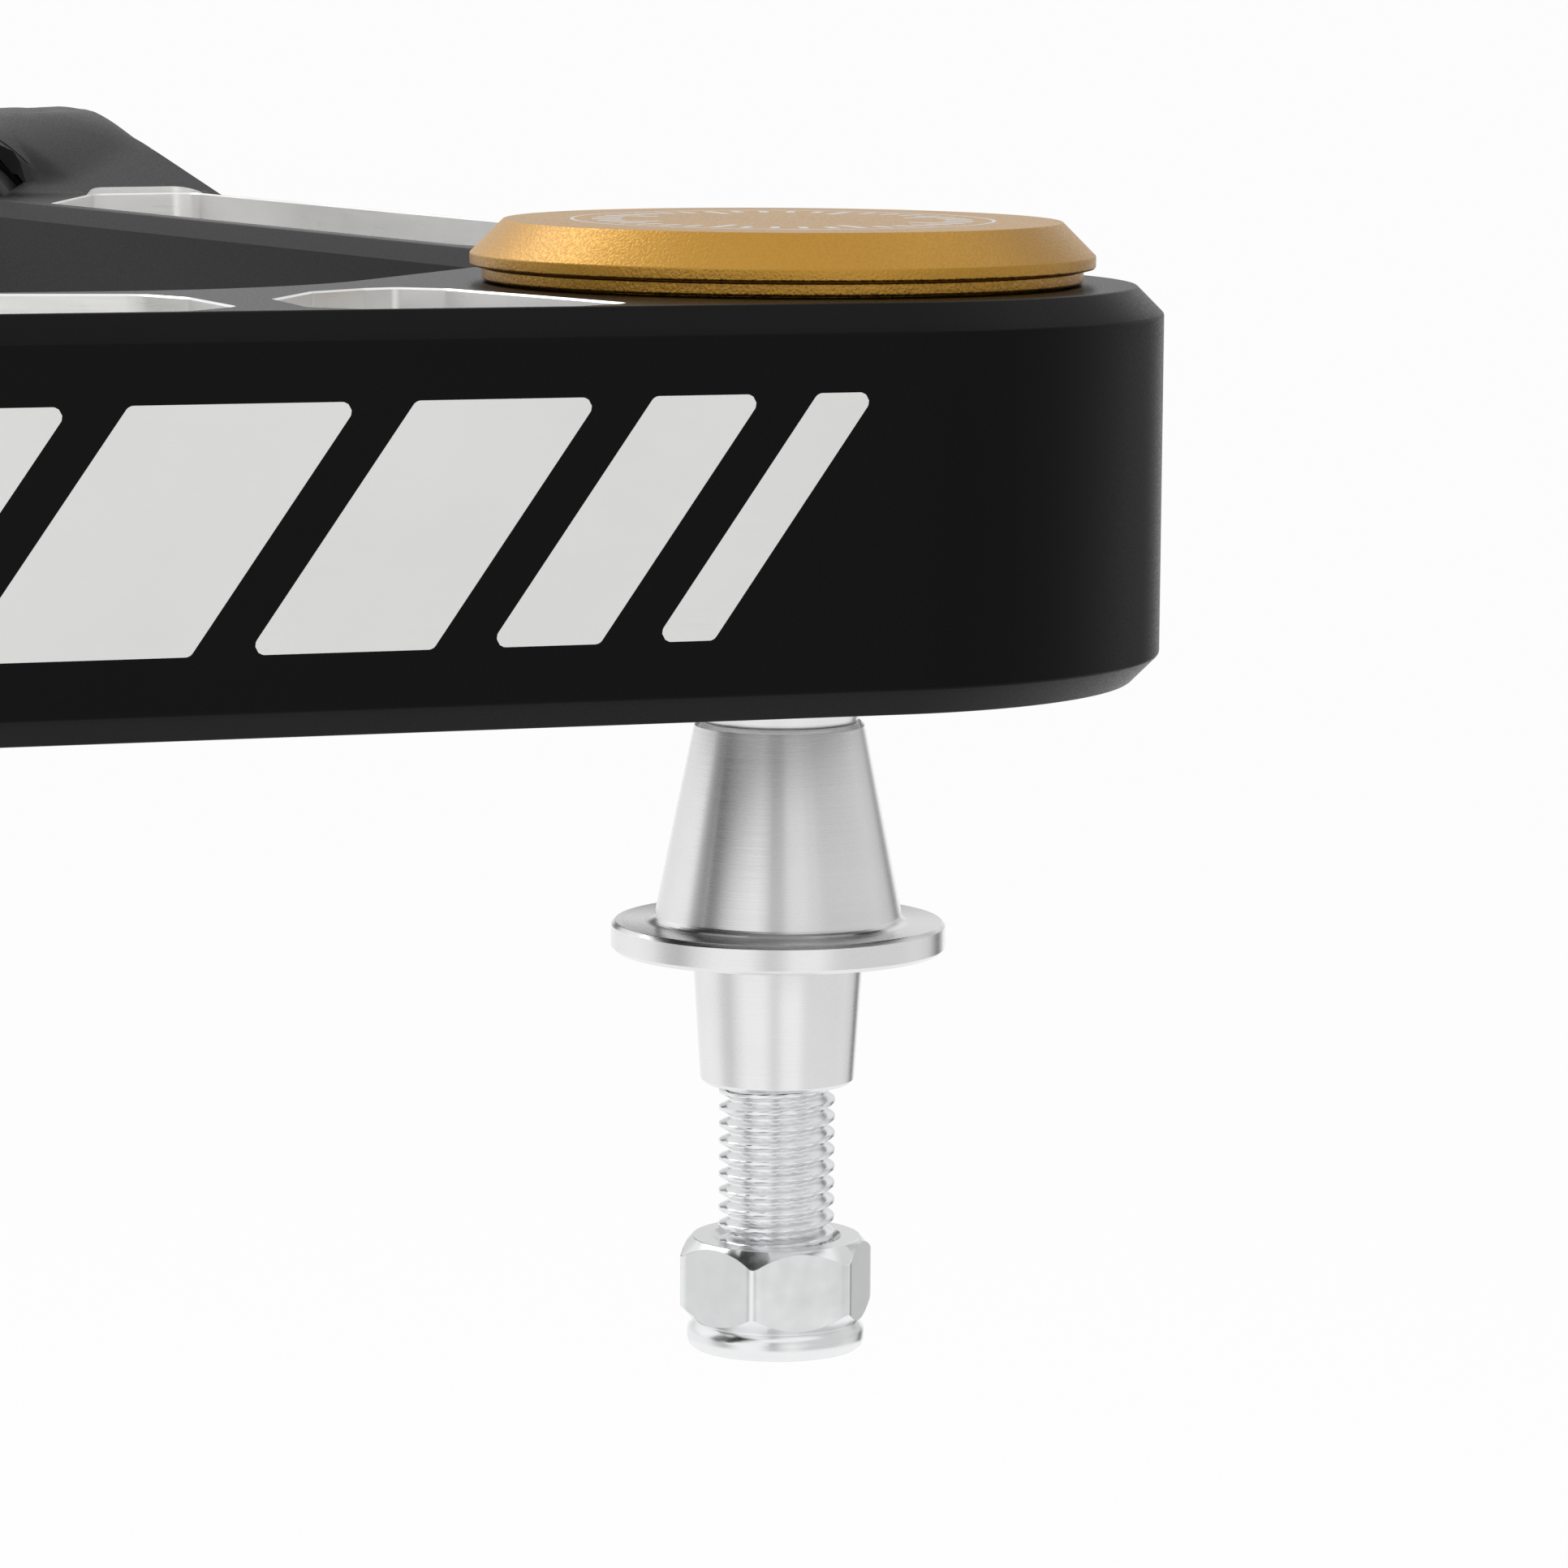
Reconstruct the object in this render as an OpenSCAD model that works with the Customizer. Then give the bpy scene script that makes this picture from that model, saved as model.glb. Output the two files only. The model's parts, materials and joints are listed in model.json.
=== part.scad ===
/* [Arm] */
// Distance from the pivot axis to the bearing centre, seen from above
ball_y = 185; // [180:1:200]
// Drop of the arm's mid-plane below the pivot axis
arm_drop = 5; // [4:0.5:6]
// Half of the distance between the two pivot barrels
pivot_x = 180; // [175:1:190]
// Height of the billet
arm_t = 40; // [38:0.5:44]
// Width of each leg
leg_w = 39; // [36:0.5:42]
// Chamfer along every outer edge
edge_c = 2.8; // [1.5:0.1:3.5]
// Chamfer along the inner edges of the legs and the crotch
edge_in = 2; // [1:0.1:2.8]
// Radius of the round bearing boss
boss_r = 38.7; // [37.5:0.1:41]
// Radius of the inside fillet between a leg and the crotch
web_r = 37; // [25:1:45]
// Crotch wall between the legs, behind the boss centre
crotch_y = 41.2; // [40.6:0.2:46]
// Depth of the lightening pockets in the top
pocket_d = 14; // [6:1:18]
// Wall between a pocket and the leg's outer side
pocket_rim = 3.2; // [3:0.2:8]
// Wall between a pocket and the leg's inner side
pocket_wall = 4.5; // [3.5:0.5:7]
// Corner radius of the pockets
pocket_r = 3; // [1:0.5:4]
// Distance of the long pocket's end from the pivot axis, at the outer side
pocket_end = 37.4; // [37:0.2:80]

/* [Pivot ends] */
// Outer radius of a pivot barrel
barrel_r = 25.5; // [25.2:0.1:27]
// Length of a pivot barrel
barrel_w = 46; // [40:1:50]
// Chamfer at the barrel's ends
barrel_c = 2.2; // [0.5:0.1:2.3]
// Bore of a pivot barrel, radius
barrel_bore = 19; // [17:0.5:20]
// Step in from the leg's side to the ramp's side
ramp_inset = 0.4; // [0.2:0.1:2.8]
// Distance from the pivot axis to the ramp's foot, at the outer side
ramp_foot = 40; // [38:0.5:46]
// Distance from the pivot axis to the ramp's shoulder, at the outer side
ramp_crown = 7.7; // [6:0.1:12]
// Gap around the inner flange where the leg is cut back to clear it
relief_gap = 1.5; // [1:0.1:2.5]

/* [Bushings] */
// Flange radius of a bushing
flange_r = 23; // [21:0.5:24]
// Flange thickness of a bushing
flange_t = 4; // [3:0.5:6]
// Grease gap left between the two halves
grease_gap = 3; // [2:0.5:6]
// Running clearance between sleeve and bushing
sleeve_fit = 0.05; // [0.02:0.01:0.09]
// Outer radius of a pivot sleeve
sleeve_r = 10; // [9:0.5:12]
// Radius of the hole for the long pivot bolt
bolt_bore = 7.1; // [6.6:0.1:7.6]
// End play of the bushings between their washers
end_play = 0.2; // [0.1:0.05:0.3]
// Thickness of a thrust washer
washer_t = 3; // [2:0.5:4]
// Outer radius of a thrust washer
washer_r = 22; // [18:0.5:23]

/* [Grease nipples] */
// Radius of the nipple's screwed shank
nipple_r = 2.9; // [2.5:0.1:3.3]
// Width across the flats of the nipple
nipple_af = 7; // [7:0.5:9]
// Depth of the spot face that the nipple seats on
nipple_seat = 0.9; // [0.7:0.1:1.5]

/* [Bearing] */
// Radius of the ball
ball_r = 19.05; // [18.5:0.05:19.3]
// Width of the ball between its flats
ball_w = 25.4; // [24.5:0.1:26]
// Radius of the bore through the ball
ball_bore = 9.525; // [9.3:0.025:9.8]
// Wall of the race where it is thinnest
race_wall = 2.7; // [2.4:0.1:3.4]
// Width of the race
race_w = 20.2; // [19:0.1:20.6]
// Thickness of the fabric liner
liner_t = 0.4; // [0.3:0.05:0.5]
// Width of the liner
liner_w = 19; // [17:0.5:20]
// Radius of the opening under the race
open_r = 20.2; // [19.8:0.1:20.6]
// Running fit of the ball in its liner and of the race in its seat
bearing_fit = 0.05; // [0.02:0.01:0.08]
// Thickness of the retaining ring
ring_t = 1.5; // [1.2:0.1:1.7]
// Depth of the ring in its groove
ring_bite = 1.7; // [1.3:0.1:2]
// Opening angle of the retaining ring, degrees
ring_gap = 34; // [28:1:44]

/* [Dust cap] */
// Radius of the cap's rim
cap_r = 31.75; // [31:0.05:33]
// Radius of the step band under the rim
step_r = 30.5; // [30:0.1:30.8]
// Height of the step band
step_h = 1.3; // [1:0.1:1.8]
// Height of the rim band
rim_h = 1.25; // [0.8:0.05:1.8]
// Chamfer of the rim
cap_c = 3.4; // [2.5:0.1:3.8]
// Radius of the recess that takes the cap
recess_r = 28; // [27:0.1:29]
// Depth of that recess
recess_d = 7.4; // [7:0.1:7.8]
// Radius of the cap's hollow
hollow_r = 22.5; // [21.5:0.5:23]
// Thickness of the cap's top
cap_top_t = 2; // [1.4:0.1:2.2]
// Slip fit between cap and recess
cap_fit = 0.05; // [0.02:0.01:0.09]
// Depth of the seal groove in the cap
seal_d = 2.05; // [1.6:0.05:2.4]
// Width of the seal groove
seal_w = 2.6; // [2.5:0.1:3]

/* [Pin] */
// Radius of the pin bolt, M12
bolt_r = 6; // [5:0.5:6]
// Clearance of the bolt in the pieces it clamps
bolt_fit = 0.1; // [0.05:0.05:0.2]
// Fit of the spacers in the ball
spacer_fit = 0.03; // [0.02:0.01:0.08]
// Shoulder radius of the two spacers
spacer_r = 11; // [10.5:0.1:11.2]
// Thickness of the upper spacer's flange
spacer_t = 1.6; // [1.2:0.1:2]
// Radius at the foot of the lower spacer
spacer_foot_r = 8; // [7.5:0.1:8.2]
// Depth of the pin's narrow end below the bearing centre
cone_top = 24.8; // [24.5:0.1:26]
// Radius of the pin's narrow end
cone_top_r = 8.75; // [8.3:0.05:8.9]
// Radius of the cone just above the flange
cone_foot_r = 12.65; // [11:0.05:13]
// Length of the cone
cone_h = 20.7; // [18:0.1:24]
// Radius of the flange
pin_flange_r = 17.2; // [15:0.05:18]
// Thickness of the flange
pin_flange_t = 3; // [2:0.1:4]
// Radius of the taper under the flange
taper_r = 8.8; // [8.1:0.05:9]
// Radius at the taper's small end
taper_end_r = 7.95; // [7.5:0.05:8]
// Length of the taper
taper_h = 13.8; // [10:0.1:15]
// Thread left bare between the taper and the nut
bare_thread = 16.2; // [12:0.1:20]
// Thread pitch
pitch = 1.75; // [1.5:0.25:1.75]
// Radius of the bolt's round head
head_r = 9; // [8.5:0.1:9.2]
// Height of the bolt's head
head_h = 7; // [6:0.5:7]
// Width across the flats of the key socket in the head
key_af = 8; // [6:1:8]
// Depth of the key socket
key_d = 4.5; // [3:0.5:5]
// Width across the flats of the nut
nut_af = 18; // [18:0.5:19]
// Height of the nut's hexagon
nut_h = 8.7; // [7:0.1:9]
// Height of the nut's round collar
collar_h = 2.95; // [2.6:0.05:3.2]
// Radius of the nut's round collar
collar_r = 9.2; // [8.7:0.05:9.3]
// Outer radius of the nylon insert
insert_r = 7.7; // [7.2:0.1:8]
// Height of the nylon insert
insert_h = 2.2; // [1.6:0.1:2.2]
// Turn of the nut about its axis, degrees
nut_turn = 7; // [0:1:59]

/* [Hidden] */
$fn = 96;

satin_black = [0.06, 0.06, 0.065];
gold = [0.72, 0.5, 0.16];
machined = [0.78, 0.78, 0.79];
zinc = [0.86, 0.87, 0.9];
rubber = [0.03, 0.03, 0.03];

half_t = arm_t / 2;
shell_r = ball_r + bearing_fit + liner_t;
race_r = shell_r + race_wall;
ring_r = race_r + ring_bite;
blend = 0.1; // keeps a leg's side just inside the boss's tangent
level = 0.04; // each piece of the arm's top lies this much below the last
side_out = boss_r - blend; // outer side of a leg, measured outward from the boss centre
side_in = side_out - leg_w;
leg_mid = side_out - leg_w / 2;
reach = sqrt(pivot_x * pivot_x + ball_y * ball_y);
leg_angle = atan2(pivot_x, ball_y) - asin(leg_mid / reach);
leg_len = reach + 3 * barrel_r;
web_x = (side_in - web_r + (crotch_y + web_r) * sin(leg_angle))
  / cos(leg_angle);
relief_r = flange_r + relief_gap;
seat_r = race_r + bearing_fit;
race_top = race_w / 2;
ring_z = race_top + 0.1;
groove_h = ring_t + 0.1;
bond = 0.02; // film of glue between the liner and the race
step_gap = 0.2;
cap_z = half_t;
rim_z = cap_z + step_gap + step_h + 0.15;
cap_h = rim_z + rim_h + cap_c;
plug_r = recess_r - cap_fit;
plug_h = recess_d - 0.4;
seal_r = (seal_d - 0.02) / 2;
hole_r = bolt_r + bolt_fit;
stem_r = ball_bore - spacer_fit;
head_z = ball_w / 2 + spacer_t;
flange_z = -cone_top - cone_h;
taper_z = flange_z - pin_flange_t;
taper_foot = taper_z - taper_h;
nut_z = taper_foot - bare_thread;
nut_foot = nut_z - nut_h - collar_h;
bolt_end = nut_foot + 1;
insert_z = nut_foot + 0.4;
sleeve_l = barrel_w + 2 * (flange_t + end_play);

// Moves its children to the bearing centre
module at_ball() translate([0, ball_y, -arm_drop]) children();

// Runs x along a leg from the bearing centre and y outward across it
module on_leg() at_ball() rotate(leg_angle - 90) children();

// Turns a shape about z from a half outline of [radius, height] points
module turned(points) rotate_extrude() polygon(points);

// Corner rounded by short chords: p is the corner, a and b its neighbours
function unit(v) = v / norm(v);
function corner(a, p, b, r, n = 4) =
  let (u = unit(a - p), v = unit(b - p),
       half = acos(u * v) / 2,
       c = p + unit(u + v) * r / sin(half),
       q0 = p + u * r / tan(half) - c,
       q1 = p + v * r / tan(half) - c)
  [for (i = [0 : n])
    let (w = unit(q0 * (n - i) + q1 * i)) c + w * r];
function rounded(pts, r) = let (n = len(pts))
  [for (i = [0 : n - 1])
    each corner(pts[(i + n - 1) % n], pts[i], pts[(i + 1) % n], r)];

// Cross-section of a bar whose edges are chamfered by c and by d
function bar(from, to, h, c, d) = [
  [from + c, -h], [to - d, -h], [to, d - h], [to, h - d],
  [to - d, h], [from + c, h], [from, h - c], [from, c - h]];

// Place along a leg whose outer side lies y outboard of the pivot axis
function leg_at(y) = (ball_y + side_out * sin(leg_angle) - y) / cos(leg_angle);

// Solid leg with chamfered long edges, cut off at the pivot axis
module leg_bar() {
  end_x = pivot_x + barrel_w / 2 - barrel_c - 0.3;
  intersection() {
    on_leg() rotate([90, 0, 90]) linear_extrude(leg_len)
      polygon(bar(side_in, side_out, half_t - level, edge_in, edge_c));
    translate([-boss_r, 0, -arm_t])
      cube([boss_r + end_x, ball_y + boss_r, 2 * arm_t]);
  }
}

// Straight wall between the legs, just behind the boss
module crotch() {
  half = web_x + 0.1 * web_r;
  at_ball() translate([-half, -crotch_y, 0]) rotate([90, 0, 90])
    linear_extrude(2 * half)
      polygon(bar(0, 20, half_t - 6 * level, edge_in, edge_c));
}

// Fillet between the crotch and a leg, made of chamfered flats
module leg_web() {
  flats = 4;
  step = (90 - leg_angle) / flats;
  depth = 20;
  reach_each = (web_r + depth) * tan(step / 2);
  at_ball() translate([web_x, -crotch_y - web_r]) for (i = [0 : flats - 1])
    rotate(leg_angle + step * (i + 0.5)) translate([web_r, reach_each, 0])
      rotate([90, 0, 0]) linear_extrude(2 * reach_each)
        polygon(bar(0, depth, half_t - (i + 2) * level, edge_in, edge_c));
}

// Ramp across a leg's top up to the barrel's crown, with a rounded shoulder
module ramp() {
  crown = barrel_r - 0.5 + arm_drop;
  foot_s = leg_at(ramp_foot);
  crown_s = leg_at(ramp_crown);
  slope = atan2(crown - half_t, crown_s - foot_s);
  sunk = 4;
  foot = [foot_s - sunk / tan(slope), half_t - sunk];
  soft = 0.95 * ramp_crown * tan(90 - slope / 2);
  intersection() {
    on_leg() translate([0, side_out - ramp_inset, 0]) rotate([90, 0, 0])
      linear_extrude(leg_w - 2 * ramp_inset) polygon([foot,
        each corner(foot, [crown_s, crown], [leg_len, crown], soft),
        [leg_len, crown], [leg_len, 0], [foot.x, 0]]);
    translate([0, 0, -arm_t])
      cube([pivot_x + barrel_w / 2 - barrel_c - ramp_inset, ball_y,
        2 * arm_t]);
  }
}

module barrel() translate([pivot_x, 0, 0]) rotate([0, 90, 0]) turned([
  [0, -barrel_w / 2], [barrel_r - barrel_c, -barrel_w / 2],
  [barrel_r, barrel_c - barrel_w / 2], [barrel_r, barrel_w / 2 - barrel_c],
  [barrel_r - barrel_c, barrel_w / 2], [0, barrel_w / 2]]);

// Top pockets of one leg: a small one by the boss, then a long one
module pockets() {
  near = side_out - pocket_rim;
  far = side_in + pocket_wall;
  end_s = leg_at(pocket_end);
  on_leg() translate([0, 0, half_t - pocket_d]) linear_extrude(pocket_d + 4) {
    polygon(rounded([[58, 18], [51, far + 2.3], [44.5, far - 2.1],
      [41, far - 3.1], [36.8, far + 0.1], [31.5, 18], [26.8, near - 3.6],
      [33, near], [54, near], [58.2, near - 4]], pocket_r / 2));
    polygon(rounded([[82, far], [68.5, far + 3], [65.3, 13.5],
      [64.5, near - 6.4], [71, near], [end_s, near],
      [end_s, far + 17], [end_s - 26, far]], pocket_r));
  }
}

module pivot_cuts() {
  inner = pivot_x - barrel_w / 2;
  translate([inner - 3 * barrel_r, 0, 0]) rotate([0, 90, 0])
    cylinder(h = 3 * barrel_r, r = relief_r);
  translate([inner - 3 * barrel_r, -1, -arm_t])
    cube([3 * barrel_r, 0.97 * relief_r + 1, arm_t]);
  translate([inner - 1, 0, 0]) rotate([0, 90, 0])
    cylinder(h = barrel_w + 2, r = barrel_bore);
  translate([pivot_x, -barrel_bore + 2, 0]) rotate([90, 0, 0])
    cylinder(h = barrel_r, r = nipple_r, $fn = 48);
  translate([pivot_x, nipple_seat - barrel_r, 0]) rotate([90, 0, 0])
    cylinder(h = barrel_r, r = nipple_af * 0.75, $fn = 48);
}

module arm() color(satin_black) difference() {
  union() {
    at_ball() turned([
      [0, -half_t], [boss_r - edge_c, -half_t], [boss_r, edge_c - half_t],
      [boss_r, half_t - edge_c], [boss_r - edge_c, half_t], [0, half_t]]);
    crotch();
    for (m = [0, 1]) mirror([m, 0, 0]) {
      leg_bar();
      leg_web();
      ramp();
      barrel();
    }
  }
  for (m = [0, 1]) mirror([m, 0, 0]) {
    pockets();
    pivot_cuts();
  }
  at_ball() {
    translate([0, 0, -half_t - 1]) cylinder(h = arm_t, r = open_r);
    translate([0, 0, -race_top]) cylinder(h = arm_t, r = seat_r);
    translate([0, 0, ring_z - 0.1])
      cylinder(h = groove_h + 0.1, r = ring_r + 0.1);
    translate([0, 0, half_t - recess_d]) cylinder(h = arm_t, r = recess_r);
  }
}

// Half of a flanged bushing; its flange faces outward for dir = 1
module bushing(x, dir) {
  l = (barrel_w - grease_gap) / 2;
  f = barrel_w / 2;
  color(rubber) translate([x, 0, 0]) rotate([0, 90 * dir, 0]) turned([
    [sleeve_r + sleeve_fit, f - l], [barrel_bore - 0.8, f - l],
    [barrel_bore, f - l + 0.8], [barrel_bore, f], [flange_r, f],
    [flange_r, f + flange_t - 0.6], [flange_r - 0.6, f + flange_t],
    [sleeve_r + sleeve_fit, f + flange_t]]);
}

module sleeve(x) color(machined) translate([x, 0, 0]) rotate([0, 90, 0])
  turned([
    [bolt_bore, -sleeve_l / 2], [sleeve_r, -sleeve_l / 2],
    [sleeve_r, sleeve_l / 2], [bolt_bore, sleeve_l / 2]]);

module thrust_washer(x, dir) color(zinc)
  translate([x + dir * sleeve_l / 2, 0, 0]) rotate([0, 90 * dir, 0]) turned([
    [bolt_bore, 0], [washer_r, 0], [washer_r, washer_t - 0.5],
    [washer_r - 0.5, washer_t], [bolt_bore, washer_t]]);

// Straight grease nipple that points inboard
module nipple(x) color(zinc)
  translate([x, nipple_seat - barrel_r, 0]) rotate([90, 0, 0]) {
    shank = barrel_r - nipple_seat - barrel_bore - 0.6;
    difference() {
      union() {
        translate([0, 0, -shank])
          cylinder(h = shank + 0.1, r = nipple_r, $fn = 48);
        cylinder(h = 3, r = nipple_af / 2 / cos(30), $fn = 6);
        translate([0, 0, 2.9]) turned([
          [0, 0], [2.6, 0], [2.6, 1.3], [1.9, 2.1], [1.9, 3.1], [2.9, 3.8],
          [3.1, 4.6], [2.8, 5.6], [1.6, 6.6], [0, 6.6]]);
      }
      translate([0, 0, -shank - 1]) cylinder(h = shank + 5, r = 1, $fn = 32);
      translate([0, 0, 8.6]) cylinder(h = 2, r = 0.7, $fn = 32);
    }
  }

module bearing_race() color(machined) at_ball() difference() {
  turned([
    [shell_r / 2, -race_top], [race_r - 0.6, -race_top],
    [race_r, 0.6 - race_top], [race_r, race_top - 0.6],
    [race_r - 0.6, race_top], [shell_r / 2, race_top]]);
  sphere(r = shell_r);
}

module race_liner() color([0.55, 0.42, 0.25]) at_ball() difference() {
  intersection() {
    sphere(r = shell_r - bond);
    cube([2 * race_r, 2 * race_r, liner_w], center = true);
  }
  sphere(r = ball_r + bearing_fit);
}

module uniball() color(machined) at_ball() difference() {
  intersection() {
    sphere(r = ball_r);
    cube([2 * race_r, 2 * race_r, ball_w], center = true);
  }
  cylinder(h = 2 * ball_w, r = ball_bore, center = true);
}

// Snap ring: open towards the pivot axis, with a plier hole in each lug
module retaining_ring() color(machined) at_ball()
  translate([0, 0, ring_z]) difference() {
    lug = ring_r - 5;
    union() {
      cylinder(h = ring_t, r = ring_r);
      for (m = [-1, 1]) rotate(m * (ring_gap / 2 + 8) - 90)
        translate([lug, 0]) cylinder(h = ring_t, r = 2.1, $fn = 48);
    }
    difference() {
      translate([0, 0, -1]) cylinder(h = ring_t + 2, r = race_r - 1.6);
      for (m = [-1, 1]) rotate(m * (ring_gap / 2 + 8) - 90)
        translate([lug, 0, -2]) cylinder(h = ring_t + 4, r = 2.1, $fn = 48);
    }
    for (m = [-1, 1]) rotate(m * (ring_gap / 2 + 8) - 90)
      translate([lug, 0, -1]) cylinder(h = ring_t + 2, r = 0.9, $fn = 32);
    translate([0, 0, -1]) linear_extrude(ring_t + 2) polygon([
      [0, 0], 40 * [sin(ring_gap / 2), -cos(ring_gap / 2)],
      40 * [-sin(ring_gap / 2), -cos(ring_gap / 2)]]);
  }

module upper_spacer() color(machined) at_ball() turned([
  [hole_r, 0.2], [stem_r, 0.2], [stem_r, ball_w / 2],
  [spacer_r, ball_w / 2], [spacer_r, head_z - 0.3],
  [spacer_r - 0.3, head_z], [hole_r, head_z]]);

module lower_spacer() color(machined) at_ball() turned([
  [hole_r, -0.2], [hole_r, -cone_top], [spacer_foot_r, -cone_top],
  [spacer_r, -ball_w / 2 - 1], [spacer_r, -ball_w / 2],
  [stem_r, -ball_w / 2], [stem_r, -0.2]]);

module taper_pin() {
  c = 0.4;
  color(machined) at_ball() turned([
    [hole_r, -cone_top], [hole_r, taper_foot], [taper_end_r - c, taper_foot],
    [taper_end_r, taper_foot + c], [taper_r, taper_z],
    [pin_flange_r - c, taper_z], [pin_flange_r, taper_z + c],
    [pin_flange_r, flange_z - c], [pin_flange_r - c, flange_z],
    [cone_foot_r + 1, flange_z], [cone_foot_r + 0.3, flange_z + 0.35],
    [cone_foot_r, flange_z + 1], [cone_top_r, -cone_top - c],
    [cone_top_r - c, -cone_top]]);
}

// Low round-headed bolt; its thread is cut as closed grooves
module pin_bolt() {
  root_r = bolt_r - pitch * 0.61;
  first = taper_foot + 2 * pitch;
  turns = floor((first - bolt_end) / pitch);
  color(zinc) at_ball() difference() {
    turned(concat(
      [[0, head_z + head_h], [0, bolt_end], [bolt_r - 1, bolt_end]],
      [for (i = [turns : -1 : 1], k = [0 : 3])
        let (z = first - i * pitch)
        [k == 0 || k == 3 ? bolt_r : root_r,
         z + pitch * [0.06, 0.44, 0.56, 0.94][k]]],
      [[bolt_r, head_z], [head_r, head_z], [head_r, head_z + head_h - 0.6],
       [head_r - 0.6, head_z + head_h]]));
    translate([0, 0, head_z + head_h - key_d])
      cylinder(h = head_h, r = key_af / 2 / cos(30), $fn = 6);
  }
}

module lock_nut() {
  tip_r = nut_af / 2 / cos(30);
  flat_r = nut_af / 2 - 0.2;
  slope = (tip_r - flat_r) * 1.1;
  color(zinc) at_ball() rotate(nut_turn) difference() {
    union() {
      intersection() {
        translate([0, 0, nut_z - nut_h])
          cylinder(h = nut_h, r = tip_r, $fn = 6);
        turned([
          [0, nut_z], [flat_r, nut_z], [tip_r, nut_z - slope],
          [tip_r, nut_z - nut_h + slope], [flat_r, nut_z - nut_h],
          [0, nut_z - nut_h]]);
      }
      translate([0, 0, nut_foot]) turned([
        [0, 0], [collar_r - 0.8, 0], [collar_r - 0.2, 0.3],
        [collar_r, 0.9], [collar_r, collar_h - 0.7],
        [flat_r - 0.2, collar_h - 0.1], [flat_r - 0.2, collar_h + 0.5],
        [0, collar_h + 0.5]]);
    }
    translate([0, 0, nut_foot - 1])
      cylinder(h = nut_h + collar_h + 2, r = bolt_r);
    translate([0, 0, insert_z]) cylinder(h = insert_h, r = insert_r);
  }
}

module nylon_insert() color([0.85, 0.87, 0.9]) at_ball()
  translate([0, 0, insert_z]) difference() {
    cylinder(h = insert_h, r = insert_r);
    translate([0, 0, -1]) cylinder(h = insert_h + 2, r = bolt_r);
  }

module dust_cap() {
  foot = cap_z - plug_h;
  seal_z = foot + plug_h / 2;
  color(gold) at_ball() turned([
    [0, cap_h], [cap_r - cap_c, cap_h], [cap_r, rim_z + rim_h],
    [cap_r, rim_z], [step_r - 0.4, rim_z], [step_r - 0.4, rim_z - 0.15],
    [step_r, rim_z - 0.15], [step_r, cap_z + step_gap],
    [recess_r + 1, cap_z + step_gap], [recess_r + 1, cap_z],
    [plug_r, cap_z], [plug_r, seal_z + seal_w / 2],
    [plug_r - seal_d, seal_z + seal_w / 2],
    [plug_r - seal_d, seal_z - seal_w / 2], [plug_r, seal_z - seal_w / 2],
    [plug_r, foot + 0.6], [plug_r - 0.6, foot], [hollow_r, foot],
    [hollow_r, cap_h - cap_top_t], [0, cap_h - cap_top_t]]);
}

module cap_seal() color(rubber) at_ball()
  translate([0, 0, cap_z - plug_h / 2]) rotate_extrude()
    translate([plug_r - seal_d + seal_r, 0]) circle(r = seal_r, $fn = 32);

arm();
bushing(pivot_x, 1);  // bushing_front_outer
bushing(pivot_x, -1);  // bushing_front_inner
bushing(-pivot_x, 1);  // bushing_rear_inner
bushing(-pivot_x, -1);  // bushing_rear_outer
sleeve(pivot_x);  // sleeve_front
sleeve(-pivot_x);  // sleeve_rear
thrust_washer(pivot_x, 1);  // washer_front_outer
thrust_washer(pivot_x, -1);  // washer_front_inner
thrust_washer(-pivot_x, 1);  // washer_rear_inner
thrust_washer(-pivot_x, -1);  // washer_rear_outer
nipple(pivot_x);  // grease_nipple_front
nipple(-pivot_x);  // grease_nipple_rear
bearing_race();
race_liner();
uniball();
retaining_ring();
upper_spacer();
lower_spacer();
taper_pin();
pin_bolt();
lock_nut();
nylon_insert();
dust_cap();
cap_seal();
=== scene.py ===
import json
import math

import bmesh
import bpy
from mathutils import Matrix, Vector


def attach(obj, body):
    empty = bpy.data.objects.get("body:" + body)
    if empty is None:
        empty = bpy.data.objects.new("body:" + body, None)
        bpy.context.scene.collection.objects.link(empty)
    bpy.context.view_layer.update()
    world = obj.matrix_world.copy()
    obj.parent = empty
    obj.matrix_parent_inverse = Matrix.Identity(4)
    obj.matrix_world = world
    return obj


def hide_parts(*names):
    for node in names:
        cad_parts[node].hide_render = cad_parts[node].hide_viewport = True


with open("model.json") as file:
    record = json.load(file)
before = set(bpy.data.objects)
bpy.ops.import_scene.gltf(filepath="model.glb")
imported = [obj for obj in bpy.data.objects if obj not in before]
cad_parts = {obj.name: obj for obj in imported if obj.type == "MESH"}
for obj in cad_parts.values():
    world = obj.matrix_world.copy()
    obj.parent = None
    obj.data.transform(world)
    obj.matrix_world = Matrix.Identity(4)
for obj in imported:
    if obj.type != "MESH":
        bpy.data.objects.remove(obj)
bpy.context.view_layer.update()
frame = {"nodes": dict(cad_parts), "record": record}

mm = 0.001
bodyOf = {node: body
          for body, nodes in frame["record"]["behaviour"]["bodies"].items()
          for node in nodes}
print("frame loaded:", len(bodyOf), "nodes")


# shared shape tools, all in millimetres

def placeAt(x, y, z, axis="Z", flip=False):
    # puts a turned piece's own Z axis along the given axis, or against it, at a point in mm
    quarter = math.radians(-90 if flip else 90)
    turn = Matrix.Identity(4)
    if axis == "X":
        turn = Matrix.Rotation(quarter, 4, "Y")
    if axis == "Y":
        turn = Matrix.Rotation(-quarter, 4, "X")
    return Matrix.Translation(Vector((x, y, z)) * mm) @ turn


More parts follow.
